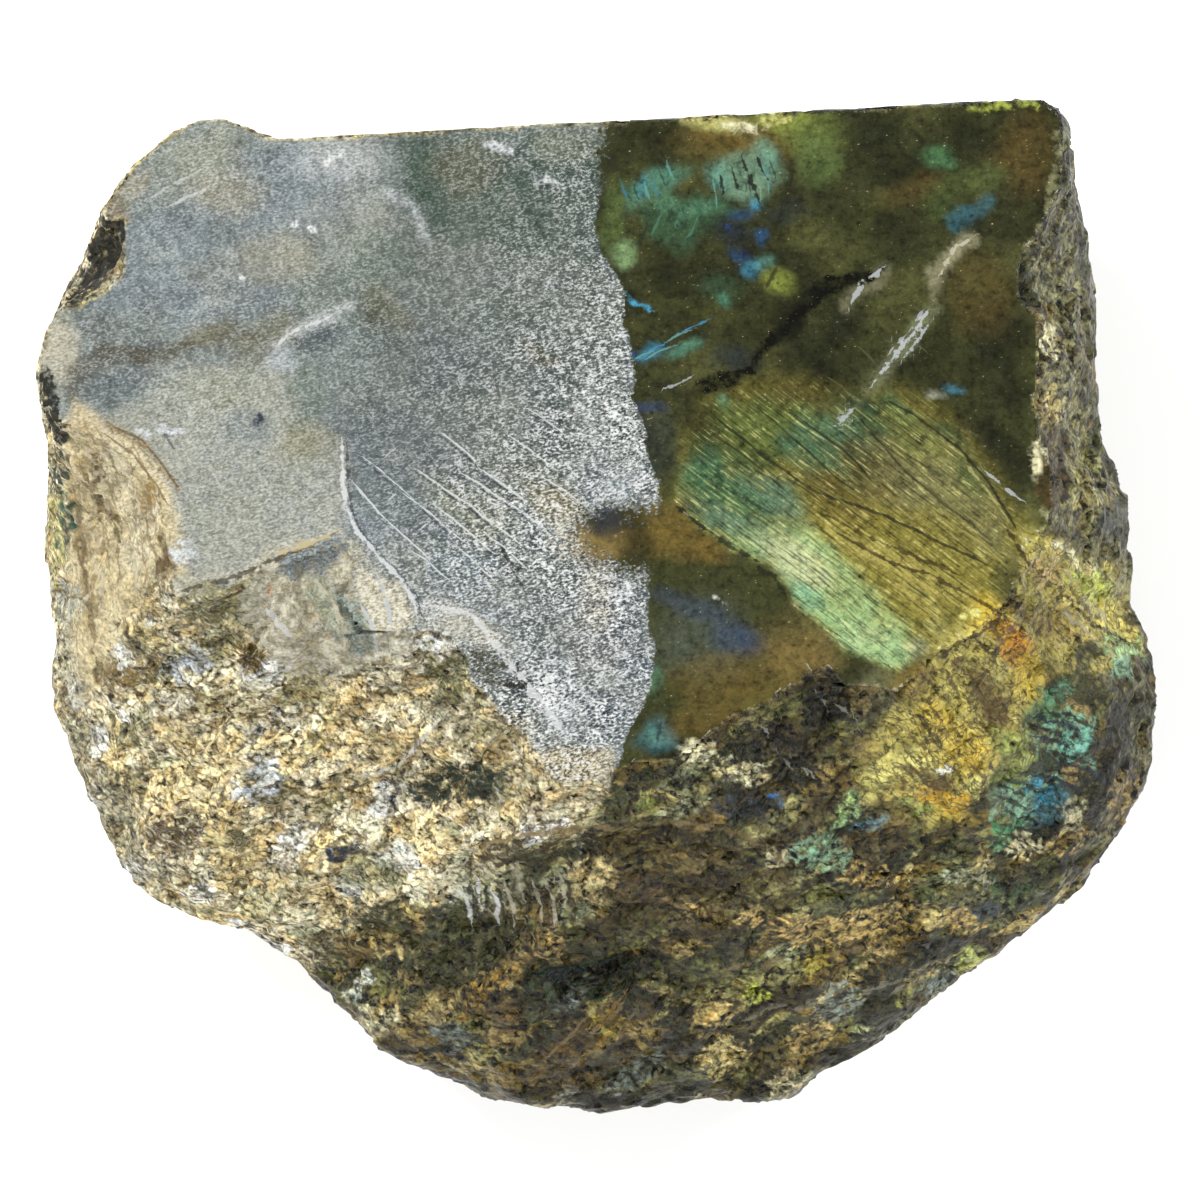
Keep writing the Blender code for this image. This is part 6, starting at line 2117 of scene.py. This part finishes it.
@dataclass
class Stone:
    """The whole chunk as one closed mesh."""

    name: str = "labradorite_stone"
    cell: float = 0.47  # size of the mesh's faces where the stone is seen from above
    smoothing: int = 6  # rounds that take the flat faces of the solid away
    facets: tuple[tuple[float, float, int], ...] = ((7.0, 1.0, 201), (3.2, 0.8, 211), (1.6, 0.4, 221))
    facet_turn: float = 35.0
    facet_stretch: tuple[float, float, float] = (1.35, 0.9, 0.9)
    sink: float = 0.45  # how far the relief lies below the solid's surface on the whole
    crags: tuple[float, float, int] = (0.3, 1.1, 231)
    wall_relief: float = 0.45  # the share of the relief on upright walls
    top_of_relief: float = 0.3
    most_triangles: int = 196000
    hidden: Range = (0.05, -0.2)  # how far faces face up where they may start to go, and where they go first
    hidden_first: float = 10.0
    smooth_angle: float = 38.0
    plane_depth: float = 0.12  # how near a plane of the solid the points are that stay on it
    plane_facing: float = 0.7  # and how squarely they face the same way at the least
    back_cut: Points = ((-33.0, 47.2), (39.0, 51.0))
    back_depth: float = 0.15
    back_facing: float = 0.9
    back_kept: float = 0.8
    level_steps: Range = (0.2, 0.5)  # how far faces face up where steps start, and where they are whole
    foot: float = 1.2  # the height below which the stone may stand on the floor
    rim: float = 0.02  # how far the break stays below the sawn face
    steps: tuple[Step, ...] = (
        Step(PLATE_CHIP, 0.5, 0.5), Step(PLATES[0], 0.6, 0.5), Step(PLATES[1], 0.8, 0.5),
        Step(PLATES[2], 0.7, 0.5), Step(PLATE_GAP, -0.3, 1.0), Step(EDGE_NOTCH, -0.8, 1.2),
        Step(DARK_HOLLOW, -0.9, 0.9),
        Step(((-7.2, -31.6), (-4.6, -31.2), (-3.2, -33.4), (-5.0, -35.4), (-7.0, -34.6)), 1.0, 1.4),
        Step(((20.5, -6.8), (22.5, -6), (25, -8), (25.7, -10.5), (24, -12.4), (20.2, -9)), -0.6, 1.0),
    )
    obj: bpy.types.Object = field(init=False)

    def build(self) -> None:
        """Makes the mesh: a fine copy of the solid, with the relief of the break."""
        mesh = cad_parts[NODE].data.copy()
        self.obj = bpy.data.objects.new(self.name, mesh)
        bpy.context.collection.objects.link(self.obj)
        only(self.obj)
        bpy.ops.object.mode_set(mode="EDIT")
        bpy.ops.mesh.select_all(action="SELECT")
        bpy.ops.mesh.remove_doubles(threshold=MM * MM)
        bpy.ops.object.mode_set(mode="OBJECT")
        self.finish_with("even", "REMESH", mode="VOXEL", voxel_size=self.cell * MM)
        self.group("rough", 1.0 - self.planes())
        self.finish_with("soften", "SMOOTH", factor=0.5, iterations=self.smoothing, vertex_group="rough")
        self.carve()
        self.thin_below()
        self.keep_inside()

    def finish_with(self, name: str, kind: str, **settings: object) -> None:
        """Adds a modifier with its settings and applies it."""
        modifier = self.obj.modifiers.new(name, kind)
        for setting, value in settings.items():
            setattr(modifier, setting, value)
        only(self.obj)
        bpy.ops.object.modifier_apply(modifier=name)

    def group(self, name: str, weights: Array) -> None:
        """Puts the mesh's points in a vertex group, each with its weight."""
        group = self.obj.vertex_groups.new(name=name)
        steps = np.round(np.clip(weights, 0.0, 1.0) * WEIGHT_STEPS)
        for step in range(1, WEIGHT_STEPS + 1):
            group.add(np.flatnonzero(steps == step).tolist(), step / WEIGHT_STEPS, "REPLACE")

    def planes(self) -> Array:
        """How flat each point is kept: fully on the face and below, less so on the cut at the back.

        Returns:
            A share for each point.
        """
        places = points_of(self.obj.data)
        normals = normals_of(self.obj.data)
        level = (np.abs(places[:, 2] - SAWN_LEVEL) < self.plane_depth) & (normals[:, 2] > self.plane_facing)
        resting = (places[:, 2] < self.plane_depth) & (normals[:, 2] < -self.plane_facing)
        off_cut = np.abs(path_place(places[:, :2] - PLAN_MIDDLE, self.back_cut).side)
        back = (off_cut < self.back_depth) & (normals[:, 1] > self.back_facing)
        return np.maximum((level | resting).astype(float), self.back_kept * back)

    def carve(self) -> None:
        """Presses the facets of the break and the steps into the surface, inside the solid's box."""
        mesh = self.obj.data
        places = points_of(mesh)
        normals = normals_of(mesh)
        flat = self.planes()
        depth, size, seed = self.crags
        height = -self.sink + depth * cloud(places, size, seed)
        for size, reach, seed in self.facets:
            found = cells_at(turned(places, self.facet_turn, self.facet_stretch), size, seed)
            keys = np.round(found.number * CELL_KEYS)[:, None] * (1, 1, 1)
            tilt = np.column_stack([hashed(keys, seed + n) for n in (5, 6, 7)])
            height += reach * np.sum(found.offset * (2.0 * tilt - 1.0), axis=1)
        relief = self.wall_relief + (1.0 - self.wall_relief) * np.abs(normals[:, 2])
        height = np.minimum(height, self.top_of_relief) * (1.0 - flat) * relief
        moved = places + normals * height[:, None]
        start, whole = self.level_steps
        upward = eased((normals[:, 2] - start) / (whole - start))
        plan = plan_of(places)
        for step in self.steps:
            moved[:, 2] += upward * step.lift(plan)
        under = places[:, 2] < self.foot
        moved[under, 2] = np.maximum(moved[under, 2], 0.0)
        loose = flat < 0.5
        moved[loose, 2] = np.minimum(moved[loose, 2], SAWN_LEVEL - self.rim)
        moved[:, 2] = np.minimum(moved[:, 2], SAWN_LEVEL)
        mesh.vertices.foreach_set("co", (moved * MM).ravel())
        mesh.update()

    def thin_below(self) -> None:
        """Takes faces away from the back and the underside, until the mesh is small enough."""
        triangles = sum(len(face.vertices) - 2 for face in self.obj.data.polygons)
        normals = normals_of(self.obj.data)
        start, first = self.hidden
        self.group("hidden", eased((start - normals[:, 2]) / (start - first)))
        ratio = self.most_triangles / triangles
        LOG.info("mesh before thinning: %d triangles, kept %.2f", triangles, ratio)
        if ratio < 1.0:
            first = {"vertex_group": "hidden", "vertex_group_factor": self.hidden_first}
            self.finish_with("fewer", "DECIMATE", ratio=ratio, **first)

    def keep_inside(self) -> None:
        """Brings points that thinning left outside the solid's box back to it."""
        mesh = self.obj.data
        low, high = (np.array(corner) for corner in cad_box)
        mesh.vertices.foreach_set("co", np.clip(points_of(mesh) * MM, low, high).ravel())
        mesh.update()

    def dress(self, canvas: Canvas, finish: StoneFinish) -> None:
        """Puts what is painted on the mesh's points, and gives it its material.

        Args:
            canvas: What is painted.
            finish: How the stone's surface looks.
        """
        ones = np.ones(len(canvas.places))
        for layer in Layer:
            self.write(layer.value, canvas.layers[layer], ones)
            self.write(f"{layer.value}_figure", canvas.figures[layer].tint, canvas.figures[layer].there)
        self.write("skin", np.column_stack((canvas.tide, canvas.sawn, canvas.felt)), canvas.flash)
        self.write("touch", np.column_stack((canvas.grit, canvas.wrinkle, ones)), ones)
        for number, family in enumerate(canvas.seams):
            self.write(f"seam_{number}_tint", family.tint, family.there)
            self.write(f"seam_{number}", np.column_stack((family.side, family.crumble, ones)), ones)
        mesh = self.obj.data
        mesh.materials.clear()
        mesh.materials.append(finish.make())
        only(self.obj)
        bpy.ops.object.shade_smooth_by_angle(angle=math.radians(self.smooth_angle))

    def write(self, name: str, triple: Array, single: Array) -> None:
        """Writes three values and one more for each point as a colour attribute."""
        attribute = self.obj.data.attributes.new(name, "FLOAT_COLOR", "POINT")
        attribute.data.foreach_set("color", np.column_stack((triple, single)).astype(np.float32).ravel())

    def join_frame(self) -> None:
        """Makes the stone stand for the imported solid."""
        self.obj.vertex_groups.clear()
        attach(self.obj, "root")
        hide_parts(NODE)


# ---- the studio


@dataclass(frozen=True)
class FloorFinish:
    """Matt white card."""

    colour: tuple[float, float, float] = (0.93, 0.93, 0.92)
    roughness: float = 0.9

    def make(self) -> bpy.types.Material:
        """Makes the material."""
        graph = Graph("white_card")
        graph.feed(graph.shader.inputs["Base Color"], (*self.colour, 1.0))
        graph.feed(graph.shader.inputs["Roughness"], self.roughness)
        return graph.material


@dataclass
class Studio:
    """The pale floor, the soft lamps, the world's light and the camera."""

    floor_size: float = 4.0
    lamp_size: float = 0.4
    lamp_distance: float = 0.95
    lamp_height: float = 0.8
    lamps: tuple[tuple[float, float], ...] = (
        (130.0, 19.0), (40.0, 11.0), (220.0, 11.0), (310.0, 8.0),
    )  # each lamp's azimuth in degrees and its watts
    world_light: float = 0.3

    def build(self) -> None:
        """Makes all of it."""
        self.floor()
        self.light()
        self.camera()

    def floor(self) -> None:
        """Lays the floor under the stone."""
        bpy.ops.object.select_all(action="DESELECT")
        bpy.ops.mesh.primitive_plane_add(size=self.floor_size)
        floor = bpy.context.object
        floor.name = "floor"
        floor.data.materials.append(FloorFinish().make())

    def light(self) -> None:
        """Hangs the lamps round the stone and lights the world."""
        for number, (azimuth, watts) in enumerate(self.lamps):
            angle = math.radians(azimuth)
            lamp = bpy.data.lights.new(f"lamp_{number}", "AREA")
            lamp.energy = watts
            lamp.size = self.lamp_size
            holder = bpy.data.objects.new(lamp.name, lamp)
            x, y = self.lamp_distance * math.cos(angle), self.lamp_distance * math.sin(angle)
            holder.location = (x, y, self.lamp_height)
            holder.rotation_euler = holder.location.to_track_quat("Z", "Y").to_euler()
            bpy.context.collection.objects.link(holder)
        world = bpy.data.worlds.new("studio")
        world.use_nodes = True
        world.node_tree.nodes["Background"].inputs["Strength"].default_value = self.world_light
        world.node_tree.nodes["Background"].inputs["Color"].default_value = (1.0, 1.0, 1.0, 1.0)
        bpy.context.scene.world = world
        bpy.context.scene.view_settings.view_transform = "Standard"

    def camera(self) -> None:
        """Places the camera straight above the stone."""
        lens = bpy.data.cameras.new("camera")
        lens.angle = 2.0 * math.atan(PICTURE_WIDTH / 2 / EYE_DROP)
        lens.clip_start = 0.01
        camera = bpy.data.objects.new("camera", lens)
        camera.location = (EYE[0] * MM, EYE[1] * MM, (SAWN_LEVEL + EYE_DROP) * MM)
        bpy.context.collection.objects.link(camera)
        bpy.context.scene.camera = camera


def main() -> None:
    """Builds the stone and the studio round it."""
    logging.basicConfig(level=logging.INFO, format="%(message)s")
    stone = Stone()
    stone.build()
    canvas = Canvas(points_of(stone.obj.data), normals_of(stone.obj.data))
    LOG.info("stone: %d points", len(canvas.places))
    face = SawnFace()
    face.find(canvas)
    TideLine().mark(canvas)
    regions = (
        Break(), face, DryFace(), Plates(), LeftShoulder(), WetFace(), LowerFace(), FlashDomain(),
        GoldenKnot(), RightEdge(), FrontBreak(),
    )
    for region in regions:
        region.paint(canvas)
        LOG.info("painted: %s", type(region).__name__)
    stone.dress(canvas, StoneFinish())
    stone.join_frame()
    Studio().build()


if __name__ == "__main__":
    main()
